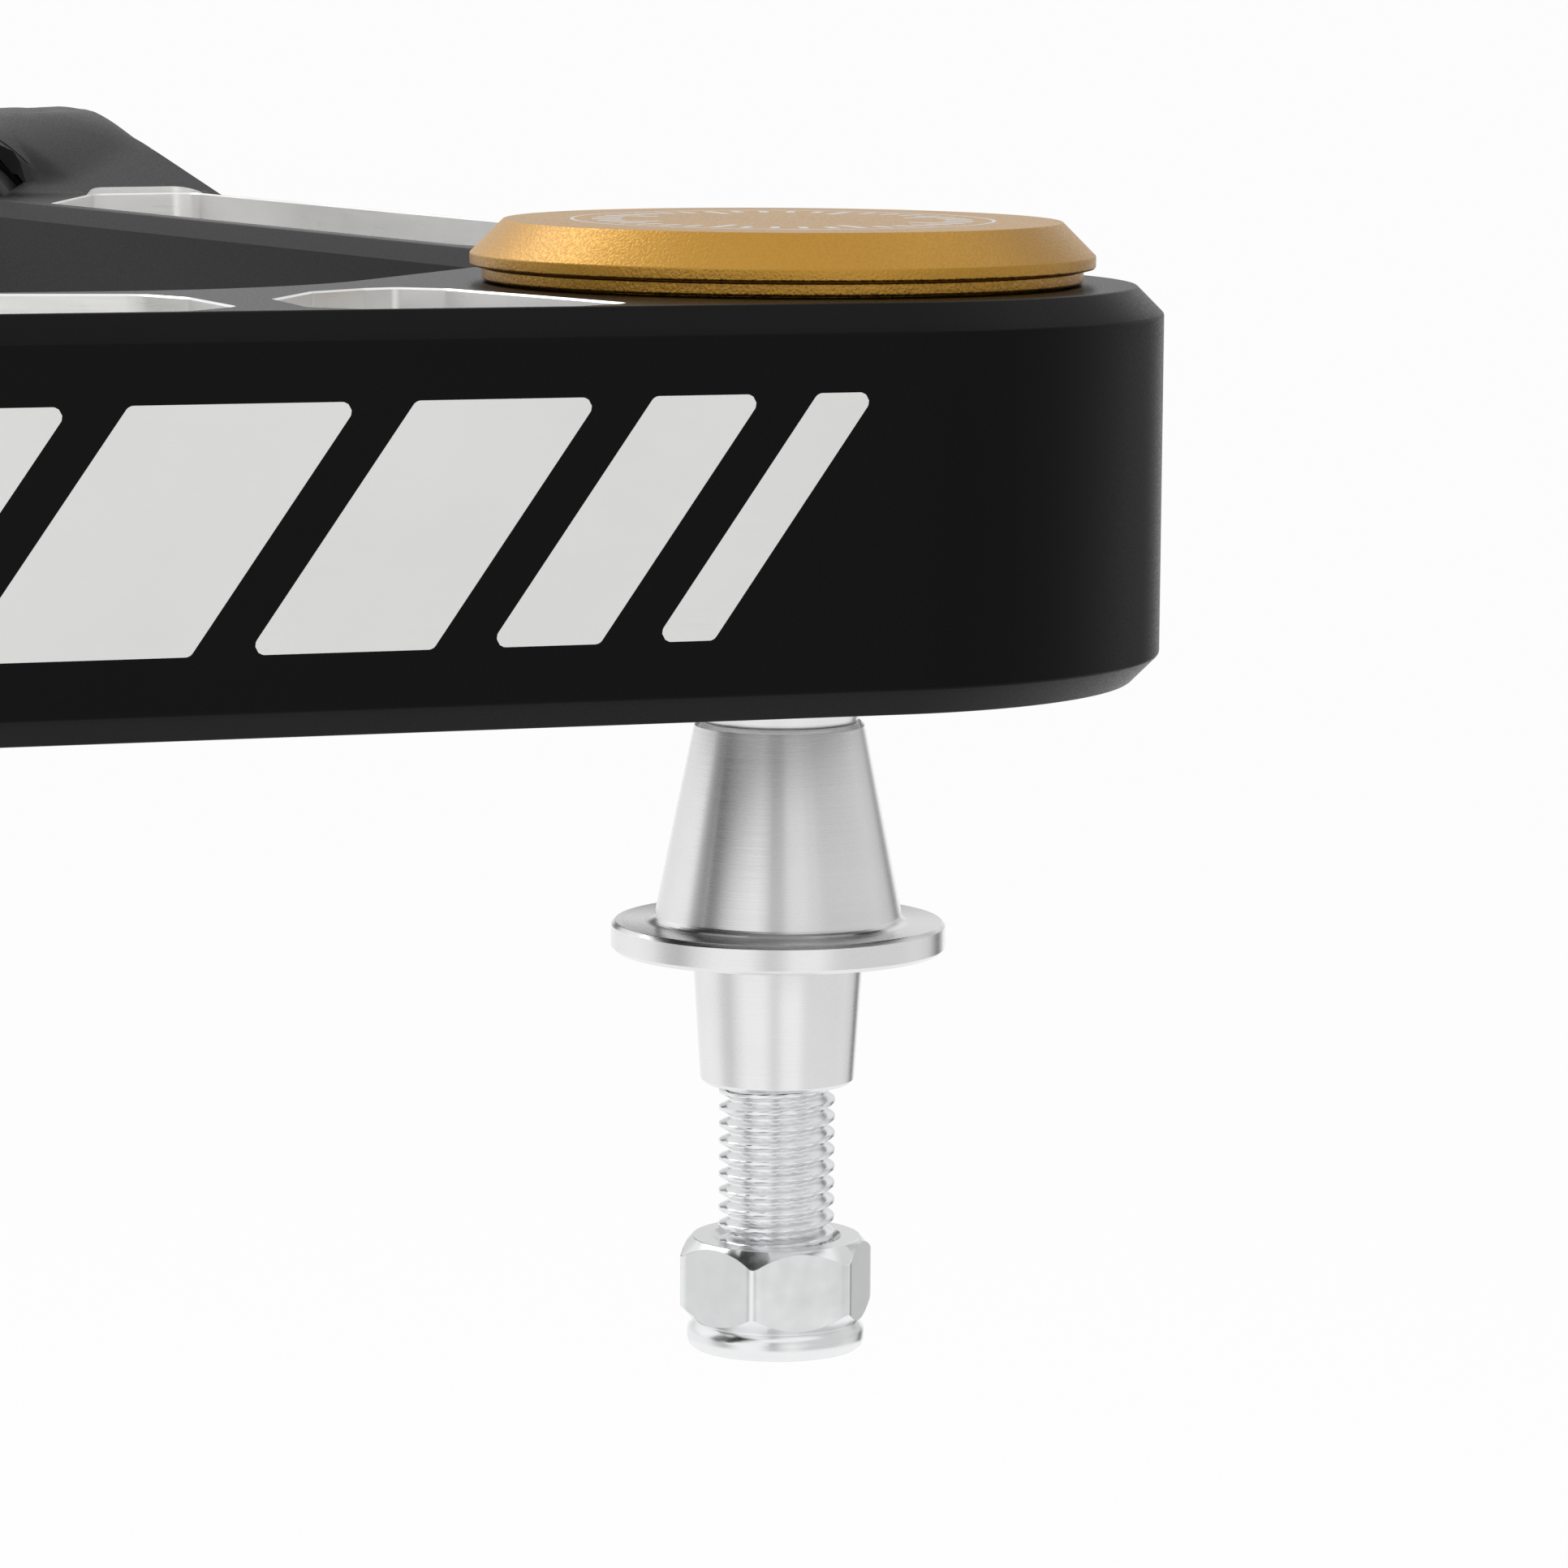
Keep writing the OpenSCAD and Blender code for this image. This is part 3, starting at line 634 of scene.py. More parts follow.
def makeRamp(side):
    # climbs across the leg from its top to the barrel's crown, with a soft shoulder
    s = armSizes
    top, crown = s["thickness"] / 2 - s["armDrop"], s["barrelRadius"] - 0.5
    footS, crownS = legAt(s["rampFoot"]), legAt(s["rampCrown"])
    slope = (crown - top) / (crownS - footS)
    lead, run = s["rampLead"], s["rampRun"]
    path = [(footS - lead / slope, top - lead)]
    path += [(footS + run * i / 12, top + run * slope * i / 12) for i in range(13)]
    shoulder, back = Vector((crownS, crown)), s["rampShoulder"]
    uphill = Vector((1, slope)).normalized()
    for i in range(13):
        t = i / 12
        point = ((shoulder - uphill * back) * (1 - t) ** 2 + shoulder * 2 * t * (1 - t)
                 + (shoulder + Vector((back, 0))) * t ** 2)
        path.append(tuple(point))
    path += [(s["rampEnd"], crown), (s["rampEnd"] + 10, crown)]
    near, out, cIn = sideIn + s["rampInset"], s["bossRadius"] - s["rampInset"], s["innerChamfer"]
    edge, buried = s["rampEdge"], 5          # the ramp's foot lies inside the plate
    columns = [near + cIn + (out - edge - near - cIn) * i / 30 for i in range(31)]
    points, faces = [], []
    for along, _ in path[:-1]:
        heights = [rampHeight(along, across, path) for across in columns]
        row = [(near, buried), (near, heights[0] - cIn)] + list(zip(columns, heights))
        row += [(out, heights[-1] - edge), (out, buried)]
        for across, high in row:
            q = legAlong * along + legAcross * across
            points.append((q.x, q.y + s["ballY"], high))
    wide = len(row)
    for k in range(len(path) - 2):
        for i in range(wide):
            a, b = k * wide + i, k * wide + (i + 1) % wide
            faces.append((a, b, b + wide, a + wide))
    faces += [tuple(range(wide - 1, -1, -1)), tuple(range(len(points) - wide, len(points)))]
    ramp = addMesh("ramp", points, faces, blackAnodised)
    # only what lies outboard of the pivot's axis and short of the barrel's end is kept
    stop, start = endX - s["endTrim"], 0.7
    plan = [(0, start), (stop, start), (stop, s["ballY"]), (0, s["ballY"])]
    points, faces = loftLoops([plan, plan], [-10, 60])
    carve(ramp, addMesh("endPrism", points, faces, blackAnodised), "INTERSECT")
    return mirrored(ramp, side)


def mirrored(obj, side):
    if side < 0:
        obj.data.transform(Matrix.Scale(-1, 4, (1, 0, 0)))
        obj.data.flip_normals()
    return obj


def fromLeg(loop):
    # (along, across) of a leg to plan coordinates
    s = armSizes
    out = []
    for along, across in loop:
        p = legAlong * along + legAcross * across
        out.append((p.x, p.y + s["ballY"]))
    return out


def counterClockwise(loop):
    area = sum(loop[i - 1][0] * p[1] - p[0] * loop[i - 1][1] for i, p in enumerate(loop))
    return loop if area > 0 else loop[::-1]


def pocketCutter(corners, radius, side):
    s = armSizes
    top = s["thickness"] / 2 - s["armDrop"]
    loop = counterClockwise(fromLeg(roundCorners(corners, radius, steps=8)))
    floor = top - s["pocketDepth"]
    lip, fillet, ease = s["pocketLip"], s["pocketFillet"], s["pocketEase"]
    steps = [(-lip, top + 5), (-lip, top), (0, top - lip), (0, floor + fillet),
             (ease, floor + fillet / 2), (fillet / 2, floor + ease), (fillet, floor)]
    points, faces = loftLoops([insetLoop(loop, k) for k, z in reversed(steps)],
                              [z for k, z in reversed(steps)])
    return mirrored(addMesh("pocketCutter", points, faces, bareAluminium), side)


def addBarrel(arm, side):
    s = armSizes
    w, r, c = s["barrelWidth"] / 2, s["barrelRadius"], s["barrelChamfer"]
    outline = [(0, -w), (r - c, -w), (r, c - w)]
    outline += [(r - drop, w - back) for back, drop in s["barrelEase"]]
    outline += [(r - c - s["barrelLastDrop"], w), (0, w)]
    carve(arm, spin("barrel", outline, blackAnodised,
                    placeAt(side * s["pivotX"], 0, 0, "X", side < 0), 160, 0.3), "UNION")


def cutPockets(arm, side):
    # outlines in (along, across) of the leg: a small pocket by the boss and a long one beyond
    s = armSizes
    near, far = s["bossRadius"] - 0.1 - s["pocketRim"], sideIn - 0.1 + s["pocketWall"]
    end = legAt(s["pocketEnd"])
    small = [(58, 18), (51, far + 2.3), (44.5, far - 2.1), (41, far - 3.1), (36.8, far + 0.1),
             (31.5, 18), (26.8, near - 3.6), (33, near), (54, near), (58.2, near - 4)]
    long = [(82, far), (68.5, far + 3), (65.3, 13.5), (64.5, near - 6.4), (71, near),
            (end, near), (end, far + 17), (end - 26, far)]
    carve(arm, pocketCutter(small, 1.5, side))
    carve(arm, pocketCutter(long, 3, side))


def cutRelief(arm, side):
    # clears the barrel's inner end: round about the pivot's axis, and square below it
    s = armSizes
    inner = s["pivotX"] - s["barrelWidth"] / 2
    relief, length = s["reliefRadius"], s["reliefLength"]
    outline = [(0, -length), (relief, -length), (relief, length - s["reliefEase"]),
               (relief - s["reliefEase"], length), (0, length)]
    carve(arm, spin("relief", outline, blackAnodised,
                    placeAt(side * (inner - length), 0, 0, "X", side < 0), 128, 0))
    back, high = inner - s["reliefFoot"], s["reliefFootHigh"] * relief
    block = [(back, -3), (inner, -3), (inner, high), (back, high)]
    points, faces = loftLoops([block, block], [-45, 0])
    carve(arm, mirrored(addMesh("reliefFoot", points, faces, blackAnodised), side))


def cutPivotHoles(arm, side):
    s = armSizes
    w, b, ease = s["barrelWidth"] / 2, s["barrelBore"], s["boreEase"]
    outline = [(0, -w - 1), (b + ease, -w - 1), (b, 0.4 - w), (b, w - 0.4), (b + ease, w + 1),
               (0, w + 1)]
    carve(arm, spin("bore", outline, bareAluminium,
                    placeAt(side * s["pivotX"], 0, 0, "X"), 128, 0))
    spot, hole, depth = s["nippleSpot"], s["nippleHole"], s["nippleHoleDepth"]
    outline = [(0, depth), (hole, depth), (hole, 0), (spot, 0), (spot, -3), (0, -3)]
    carve(arm, spin("nippleBore", outline, bareAluminium,
                    placeAt(side * s["pivotX"], nippleY, 0, "Y"), 64, 0))


def cutBearingHole(arm):
    b, half, past = boreSizes, armSizes["thickness"] / 2, boreSizes["past"]
    seat, top, groove, recess = b["seat"], b["raceTop"], b["groove"], b["recess"]
    shelf, shallow = half - b["recessDepth"], b["chamferDepth"]
    outline = [
        (0, -half - past), (b["mouth"], -half - past), (b["lip"], b["mouthDepth"] - half),
        (b["lip"], -top), (seat, -top), (seat, top), (groove, top),
        (groove, top + b["grooveWidth"]), (seat, top + b["grooveWidth"]), (seat, shelf),
        (recess, shelf), (recess, half - shallow),
        (recess + b["recessChamfer"], half - shallow + b["recessChamfer"]),
        (0, half - shallow + b["recessChamfer"])]
    carve(arm, spin("bearingBore", outline, bareAluminium, bearingPlace, 192, 0))


def makeArm():
    arm = makePlate()
    for side in (1, -1):
        carve(arm, makeRamp(side), "UNION")
        addBarrel(arm, side)
    for side in (1, -1):
        cutPockets(arm, side)
        cutRelief(arm, side)
        cutPivotHoles(arm, side)
    cutBearingHole(arm)
    return settle(arm, "arm")


makeArm()
print("arm made")


# etched bars on the outer faces of the legs

barSizes = {
    "height": 23.4, "slant": 35, "start": 4.0, "gap": 5.4, "cornerRounding": 0.9,
    "widths": (6, 11, 18, 22, 22, 22, 22, 22), "proud": 0.04, "drop": 0.1,
}


def flatPiece(name, loops, toWorld, low, high, finish, body):
    # thin raised shapes: each loop gets a top, a hair of bevel and side walls
    points, faces = [], []
    for loop in loops:
        loop = counterClockwise(loop)
        rows = [(0, low), (0, high - 0.01), (0.015, high)]
        base, count = len(points), len(loop)
        for k, h in rows:
            points += [toWorld(u, v, h) for u, v in insetLoop(loop, k)]
        for row in range(len(rows) - 1):
            for i in range(count):
                j, o = (i + 1) % count, base + row * count
                faces.append((o + i, o + j, o + count + j, o + count + i))
        faces.append(tuple(base + 2 * count + i for i in range(count)))
        faces.append(tuple(base + count - 1 - i for i in range(count)))
    obj = addMesh(name, points, faces, finish)
    softShade(obj)
    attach(obj, body)
    return obj


def makeBars():
    b, s = barSizes, armSizes
    lean = b["height"] * math.tan(math.radians(b["slant"]))
    loops, at = [], b["start"]
    for width in b["widths"]:
        h = b["height"] / 2
        corners = [(at, h), (at + width, h), (at + width + lean, -h), (at + lean, -h)]
        loops.append(roundCorners(corners, b["cornerRounding"], steps=5))
        at += width + b["gap"]
    for label, side in (("front", 1), ("rear", -1)):
        def toWorld(along, height, out, side=side):
            p = legAlong * along + legAcross * (s["bossRadius"] + out)
            return (side * p.x, p.y + s["ballY"], height - s["armDrop"] - b["drop"])
        flatPiece("etched_bars_" + label, loops, toWorld, -0.2, b["proud"], etchedSilver, "arm")


makeBars()
print("etched bars made")


# dust cap and its seal

capSizes = {
    "rim": 31.75, "chamfer": 3.4, "rimHeight": 1.25, "step": 30.5, "stepHeight": 1.3,
    "gap": 0.2, "hollow": 22.5, "topThickness": 2, "stepRelief": 0.4, "stepDrop": 0.15,
    "sealDepth": 2.05, "sealWidth": 2.6, "fit": 0.05,
}


def makeCap():
    c = capSizes
    base = armSizes["thickness"] / 2
    recess, drop = boreSizes["recess"], c["stepDrop"]
    plug = recess - c["fit"]
    plugHeight = boreSizes["recessDepth"] - 0.4
    rimZ = base + c["gap"] + c["stepHeight"] + drop
    top = rimZ + c["rimHeight"] + c["chamfer"]
    foot = base - plugHeight
    mid = foot + plugHeight / 2
    half = c["sealWidth"] / 2
    rise = rimZ + c["rimHeight"]
    neck = c["step"] - c["stepRelief"]
    outline = [
        (0, top), (c["rim"] - c["chamfer"], top), (c["rim"], rise), (c["rim"], rimZ),
        (neck, rimZ), (neck, rimZ - drop), (c["step"], rimZ - drop),
        (c["step"], base + c["gap"]), (recess + 1, base + c["gap"]), (recess + 1, base),
        (plug, base), (plug, mid + half), (plug - c["sealDepth"], mid + half),
        (plug - c["sealDepth"], mid - half), (plug, mid - half), (plug, foot + 0.6),
        (plug - 0.6, foot), (c["hollow"], foot), (c["hollow"], top - c["topThickness"]),
        (0, top - c["topThickness"])]
    cap = spin("dustCap", outline, goldAnodised, bearingPlace, 256, 0.28)
    settle(cap, "dust_cap")
    r = (c["sealDepth"] - 0.02) / 2
    ring = plug - c["sealDepth"] + r
    loop = [(ring + r * math.cos(math.tau * i / 24), mid + r * math.sin(math.tau * i / 24))
            for i in range(24)]
    settle(spin("capSeal", loop, sealRubber, bearingPlace, 128, 0), "cap_seal")
    return top


capTop = makeCap()

tickSizes = {
    "count": 40, "inner": 16.4, "outer": 19.4, "longInner": 13.6, "longEvery": 5,
    "width": 0.9, "ringRadius": 21.4, "ringWidth": 0.35, "proud": 0.03,
}


def makeTicks():
    t = tickSizes
    loops = []
    for i in range(t["count"]):
        a = math.tau * i / t["count"]
        inner = t["longInner"] if i % t["longEvery"] == 0 else t["inner"]
        along, across = Vector((math.cos(a), math.sin(a))), Vector((-math.sin(a), math.cos(a)))
        w = t["width"] / 2
        corners = [along * inner - across * w, along * t["outer"] - across * w,
                   along * t["outer"] + across * w, along * inner + across * w]
        loops.append(roundCorners([tuple(p) for p in corners], 0.2, steps=2))

    def toWorld(u, v, h):
        return (u, v + armSizes["ballY"], capTop - armSizes["armDrop"] + h)

    flatPiece("cap_ticks", loops, toWorld, -0.2, t["proud"], etchedSilver, "cap")
    r, w, h = t["ringRadius"], t["ringWidth"] / 2, t["proud"]
    ring = spin("cap_ring", [(r - w, -0.2), (r + w, -0.2), (r + w, h), (r - w, h)], etchedSilver,
                placeAt(0, armSizes["ballY"], capTop - armSizes["armDrop"]), 192, 0.01)
    settle(ring, body="cap")


makeTicks()
print("cap made")


# bearing

bearingSizes = {
    "ball": 19.05, "ballWidth": 25.4, "bore": 9.525, "race": 22.2, "raceWidth": 20.2,
    "liner": 0.4, "linerWidth": 19, "fit": 0.05, "bond": 0.02,
}


def sphereArc(radius, low, high, count=28):
    # points on a sphere's outline from one height to another
    a, b = math.asin(low / radius), math.asin(high / radius)
    turns = [a + (b - a) * i / count for i in range(count + 1)]
    return [(radius * math.cos(turn), radius * math.sin(turn)) for turn in turns]


def makeBearing():
    b, place = bearingSizes, bearingPlace
    shell = b["ball"] + b["fit"] + b["liner"]
    half = b["raceWidth"] / 2
    race = [(b["race"] - 0.6, half), (b["race"], half - 0.6), (b["race"], 0.6 - half),
            (b["race"] - 0.6, -half)] + sphereArc(shell, -half, half)
    settle(spin("bearingRace", race, turnedSteel, place, 160, 0), "bearing_race")
    w = b["linerWidth"] / 2
    liner = sphereArc(shell - b["bond"], w, -w) + sphereArc(b["ball"] + b["fit"], -w, w)
    settle(spin("raceLiner", liner, linerFabric, place, 128, 0), "race_liner")
    w = b["ballWidth"] / 2
    ball = [(b["bore"] + 0.3, w), (b["bore"], w - 0.3), (b["bore"], 0.3 - w),
            (b["bore"] + 0.3, -w)] + sphereArc(b["ball"], -w, w, 40)
    settle(spin("bearingBall", ball, polishedSteel, place, 160, 0.0), "uniball")
    ring = frame["nodes"]["retaining_ring"]
    ring.data.materials.clear()
    ring.data.materials.append(springSteel)


makeBearing()
print("bearing made")


# taper pin, its spacers, bolt and nut

pinSizes = {
    "hole": 6.1, "stem": 9.495, "spacer": 11, "spacerTop": 1.6, "spacerFoot": 8,
    "coneTop": -24.8, "coneTopRadius": 8.75, "coneFootRadius": 12.65, "coneHeight": 20.7,
    "flange": 17.2, "flangeHeight": 3, "taper": 8.8, "taperEnd": 7.95, "taperHeight": 13.8,
    "bare": 16.2, "pitch": 1.75, "bolt": 6, "head": 9, "headHeight": 7, "keyAcross": 8,
    "keyDepth": 4.5, "nutAcross": 18, "nutHeight": 8.7, "collar": 9.2, "collarHeight": 2.95,
    "insert": 7.7, "insertHeight": 2.2, "insertUp": 0.4, "nutTurn": 7, "boltUp": 1,
    "edge": 0.4, "boreEdge": 0.3, "fillet": 1.1, "leadIn": 1.0, "runOut": 1.2,
}
flangeZ = pinSizes["coneTop"] - pinSizes["coneHeight"]
taperZ = flangeZ - pinSizes["flangeHeight"]
taperFoot = taperZ - pinSizes["taperHeight"]
nutTop = taperFoot - pinSizes["bare"]
nutFoot = nutTop - pinSizes["nutHeight"] - pinSizes["collarHeight"]
boltEnd = nutFoot + pinSizes["boltUp"]
headZ = bearingSizes["ballWidth"] / 2 + pinSizes["spacerTop"]


def makeSpacers():
    p, half = pinSizes, bearingSizes["ballWidth"] / 2
    upper = [(p["hole"], 0.2), (p["stem"], 0.2), (p["stem"], half), (p["spacer"], half),
             (p["spacer"], headZ - 0.3), (p["spacer"] - 0.3, headZ), (p["hole"], headZ)]
    lower = [(p["hole"], -0.2), (p["hole"], p["coneTop"]), (p["spacerFoot"], p["coneTop"]),
             (p["spacer"], -half - 1), (p["spacer"], -half), (p["stem"], -half),
             (p["stem"], -0.2)]
    settle(spin("upperSpacer", upper, turnedSteel, bearingPlace, 128, 0.15), "upper_spacer")
    settle(spin("lowerSpacer", lower, turnedSteel, bearingPlace, 128, 0.15), "lower_spacer")


def makePin():
    p = pinSizes
    c, bore, edge = p["edge"], p["hole"], p["boreEdge"]
    r, fillet = p["coneFootRadius"], p["fillet"]
    turns = [math.radians(85) * i / 6 for i in range(7)]   # just short of upright
    foot = [(r + fillet - fillet * math.sin(t), flangeZ + fillet - fillet * math.cos(t))
            for t in turns]
    outline = [
        (bore + edge, p["coneTop"]), (bore, p["coneTop"] - edge), (bore, taperFoot + edge),
        (bore + edge, taperFoot), (p["taperEnd"] - c, taperFoot), (p["taperEnd"], taperFoot + c),
        (p["taper"], taperZ), (p["flange"] - c, taperZ), (p["flange"], taperZ + c),
        (p["flange"], flangeZ - c), (p["flange"] - c, flangeZ), *foot,
        (p["coneTopRadius"], p["coneTop"] - c), (p["coneTopRadius"] - c, p["coneTop"])]
    settle(spin("taperPin", outline, turnedSteel, bearingPlace, 256, 0.14), "taper_pin")


def hexTurn(t):
    # angle from the nearest sixth of a turn
    return (t + math.pi / 6) % (math.pi / 3) - math.pi / 6


def threadRadius(turnPhase):
    # rounded crest and root of a metric thread, by position within one pitch
    depth, x = 0.61 * pinSizes["pitch"], turnPhase % 1
    flank = abs(x - 0.5) * 2                       # 1 at the crest, 0 at the root
    rise = min(max((flank - 0.14) / 0.68, 0), 1)
    smooth = rise * rise * (3 - 2 * rise)
    return pinSizes["bolt"] - depth * (1 - (0.55 * rise + 0.45 * smooth))


def makeBolt():
    p = pinSizes
    shank, head, pitch = p["bolt"], p["head"], p["pitch"]
    first, last = taperFoot + 2 * pitch, boltEnd + p["leadIn"]
    topZ, hexKey = headZ + p["headHeight"], p["keyAcross"] / 2
    rowsPerPitch = 20

    def wave(t, r, z):
        if abs(r - hexKey) < 1e-4:                 # the key socket's six flats
            return hexKey / math.cos(hexTurn(t)), z
        if last - 1e-6 < z < first + 1e-6 and abs(r - shank) < 1e-4:
            fade = min(1, (first - z) / p["runOut"])
            fadeLow = min(1, 0.35 + (z - last) / p["leadIn"])
            cut = shank - threadRadius(z / pitch - t / math.tau)
            return shank - max(cut * fade, (1 - fadeLow) * p["leadIn"]), z
        return r, z

    rows = int((first - last) / pitch * rowsPerPitch)
    outline = [(0, boltEnd), (shank - 1.1, boltEnd), (shank - 1.0, boltEnd + 0.1)]
    outline += [(shank, last + (first - last) * i / rows) for i in range(rows + 1)]
    outline += [(shank, headZ), (head - 0.3, headZ), (head, headZ + 0.3), (head, topZ - 0.9),
                (head - 0.25, topZ - 0.35), (head - 0.9, topZ), (hexKey + 0.95, topZ),
                (hexKey, topZ - 0.35), (hexKey, topZ - p["keyDepth"]),
                (0, topZ - p["keyDepth"] - 0.8)]
    bolt = spin("pinBolt", outline, brightZinc, bearingPlace, 120, 0, wave)
    settle(bolt, "pin_bolt")


def makeNut():
    p = pinSizes
    flat, turn = p["nutAcross"] / 2, math.radians(p["nutTurn"])
    tip = flat / math.cos(math.pi / 6)
    low = nutTop - p["nutHeight"]
    # each stands in for a radius and marks a row that follows the six flats
    upper, lower, upperIn, lowerIn = 100, 200, 300, 400
    inset, lift = 0.12, 0.1              # from a flat's edge to the row just inside it

    def wave(t, r, z):
        if r < upper:
            return r, z
        full = min(flat / math.cos(math.pi / 6 - abs(hexTurn(t - turn))), tip - 0.16)
        slope = (full - flat + 0.3) * 1.15
        if r == upper:
            return full, nutTop - slope
        if r == lower:
            return full, low + slope
        return full - inset, nutTop - slope + lift if r == upperIn else low + slope - lift

    bolt, collar, insert = p["bolt"] + 0.02, p["collar"], p["insert"]
    neck, seat = flat - 0.45, nutFoot + p["insertUp"]
    outline = [
        (bolt, nutTop - 0.7), (bolt + 0.75, nutTop), (neck, nutTop),
        (flat - 0.3, nutTop - 0.06), (upperIn, 0), (upper, 0), (lower, 0), (lowerIn, 0),
        (flat - 0.3, low + 0.06), (neck, low), (neck, low - 0.14), (neck + 0.2, low - 0.42),
        # the collar rolled over the nylon ring
        (collar - 0.1, low - 0.85), (collar - 0.02, low - 1.25),
        (collar - 0.04, nutFoot + 1.0), (collar - 0.18, nutFoot + 0.5),
        (collar - 0.5, nutFoot + 0.18), (collar - 1.1, nutFoot + 0.02),
        (insert - 0.3, nutFoot), (insert - 0.55, nutFoot + 0.12), (insert - 0.6, nutFoot + 0.38),
        (insert, seat), (insert, seat + p["insertHeight"]), (bolt, seat + p["insertHeight"])]
    nut = spin("lockNut", outline, brightZinc, bearingPlace, 144, 0, wave)
    settle(nut, "lock_nut")


def makeInsert():
    p = pinSizes
    bore, r, z = p["bolt"] + 0.01, p["insert"] - 0.02, nutFoot + p["insertUp"]
    outline = [(bore, z), (r, z), (r, z + p["insertHeight"]), (bore, z + p["insertHeight"])]
    settle(spin("nylonInsert", outline, naturalNylon, bearingPlace, 96, 0.12), "nylon_insert")


makeSpacers()
makePin()
makeBolt()
makeNut()
makeInsert()
print("pin made")


# pivot bushings, sleeves, washers and grease nipples

pivotSizes = {
    "sleeve": 10, "bolt": 7.1, "sleeveFit": 0.05, "flange": 23, "flangeHeight": 4,
    "greaseGap": 3, "endPlay": 0.2, "washer": 22, "washerHeight": 3,
    "bushEdge": 0.6, "bushLead": 0.8, "boreEdge": 0.5, "washerEdge": 0.5,
}


def makePivots():
    v, s = pivotSizes, armSizes
    half = s["barrelWidth"] / 2
    length = (s["barrelWidth"] - v["greaseGap"]) / 2
    sleeveHalf = half + v["flangeHeight"] + v["endPlay"]
    inner, bore, flange = v["sleeve"] + v["sleeveFit"], s["barrelBore"], v["flange"]
    bolt, sleeveR, washerR = v["bolt"], v["sleeve"], v["washer"]
    edge, lead, end = v["bushEdge"], v["bushLead"], half + v["flangeHeight"]
    bush = [(inner, half - length), (bore - lead, half - length), (bore, half - length + lead),
            (bore, half), (flange, half), (flange, end - edge), (flange - edge, end),
            (inner + v["boreEdge"], end), (inner, end - v["boreEdge"])]
    sleeve = [(bolt, -sleeveHalf), (sleeveR, -sleeveHalf), (sleeveR, sleeveHalf),
              (bolt, sleeveHalf)]
    thick, turned = v["washerHeight"], v["washerEdge"]
    washer = [(bolt, 0), (washerR, 0), (washerR, thick - turned), (washerR - turned, thick),
              (bolt, thick)]
    for label, side in (("front", 1), ("rear", -1)):
        x = side * s["pivotX"]
        node = "sleeve_" + label
        settle(spin(node, sleeve, turnedSteel, placeAt(x, 0, 0, "X"), 96, 0.4), node)
        for place, way in (("outer", side), ("inner", -side)):
            node = "bushing_%s_%s" % (label, place)
            spot = placeAt(x, 0, 0, "X", way < 0)
            settle(spin(node, bush, blackAcetal, spot, 128, 0.2), node)
            node = "washer_%s_%s" % (label, place)
            spot = placeAt(x + way * sleeveHalf, 0, 0, "X", way < 0)
            settle(spin(node, washer, brightZinc, spot, 128, 0.15), node)
        makeNipple(label, x)


nippleSizes = {
    "across": 7, "shank": 2.9, "hexHeight": 3, "neck": 2.6, "depth": 5,
    # the ball head's radius and height, from the neck up to the mouth
    "head": ((2.6, 4.2), (1.9, 5.0), (1.9, 6.0), (2.5, 6.4), (2.95, 6.8), (3.1, 7.4),
             (2.95, 8.1), (2.4, 8.9), (1.6, 9.5), (0.7, 9.5), (0.7, 8.6)),
}


def makeNipple(label, x):
    n = nippleSizes
    flat, shank, high = n["across"] / 2, n["shank"], n["hexHeight"]
    hexRow = 100                         # stands in for a radius on rows that follow the hexagon

    def wave(t, r, z):
        if r < hexRow:
            return r, z
        full = min(flat / math.cos(hexTurn(t)), flat / math.cos(math.pi / 6) - 0.08)
        return full, z + (full - flat) * (0.5 if z < high / 2 else -0.5)

    outline = [(1, -n["depth"]), (n["neck"], -n["depth"]), (shank, 0.3 - n["depth"]),
               (shank, 0), (flat - 0.1, 0), (hexRow, 0.05), (hexRow, high - 0.05),
               (flat - 0.1, high), (n["neck"], high), *n["head"], (1, 4), (1, 3.9)]
    node = "grease_nipple_" + label
    spot = placeAt(x, nippleY, 0, "Y", flip=True)
    settle(spin(node, outline, brightZinc, spot, 96, 0, wave), node)


makePivots()
print("pivots made")


# studio

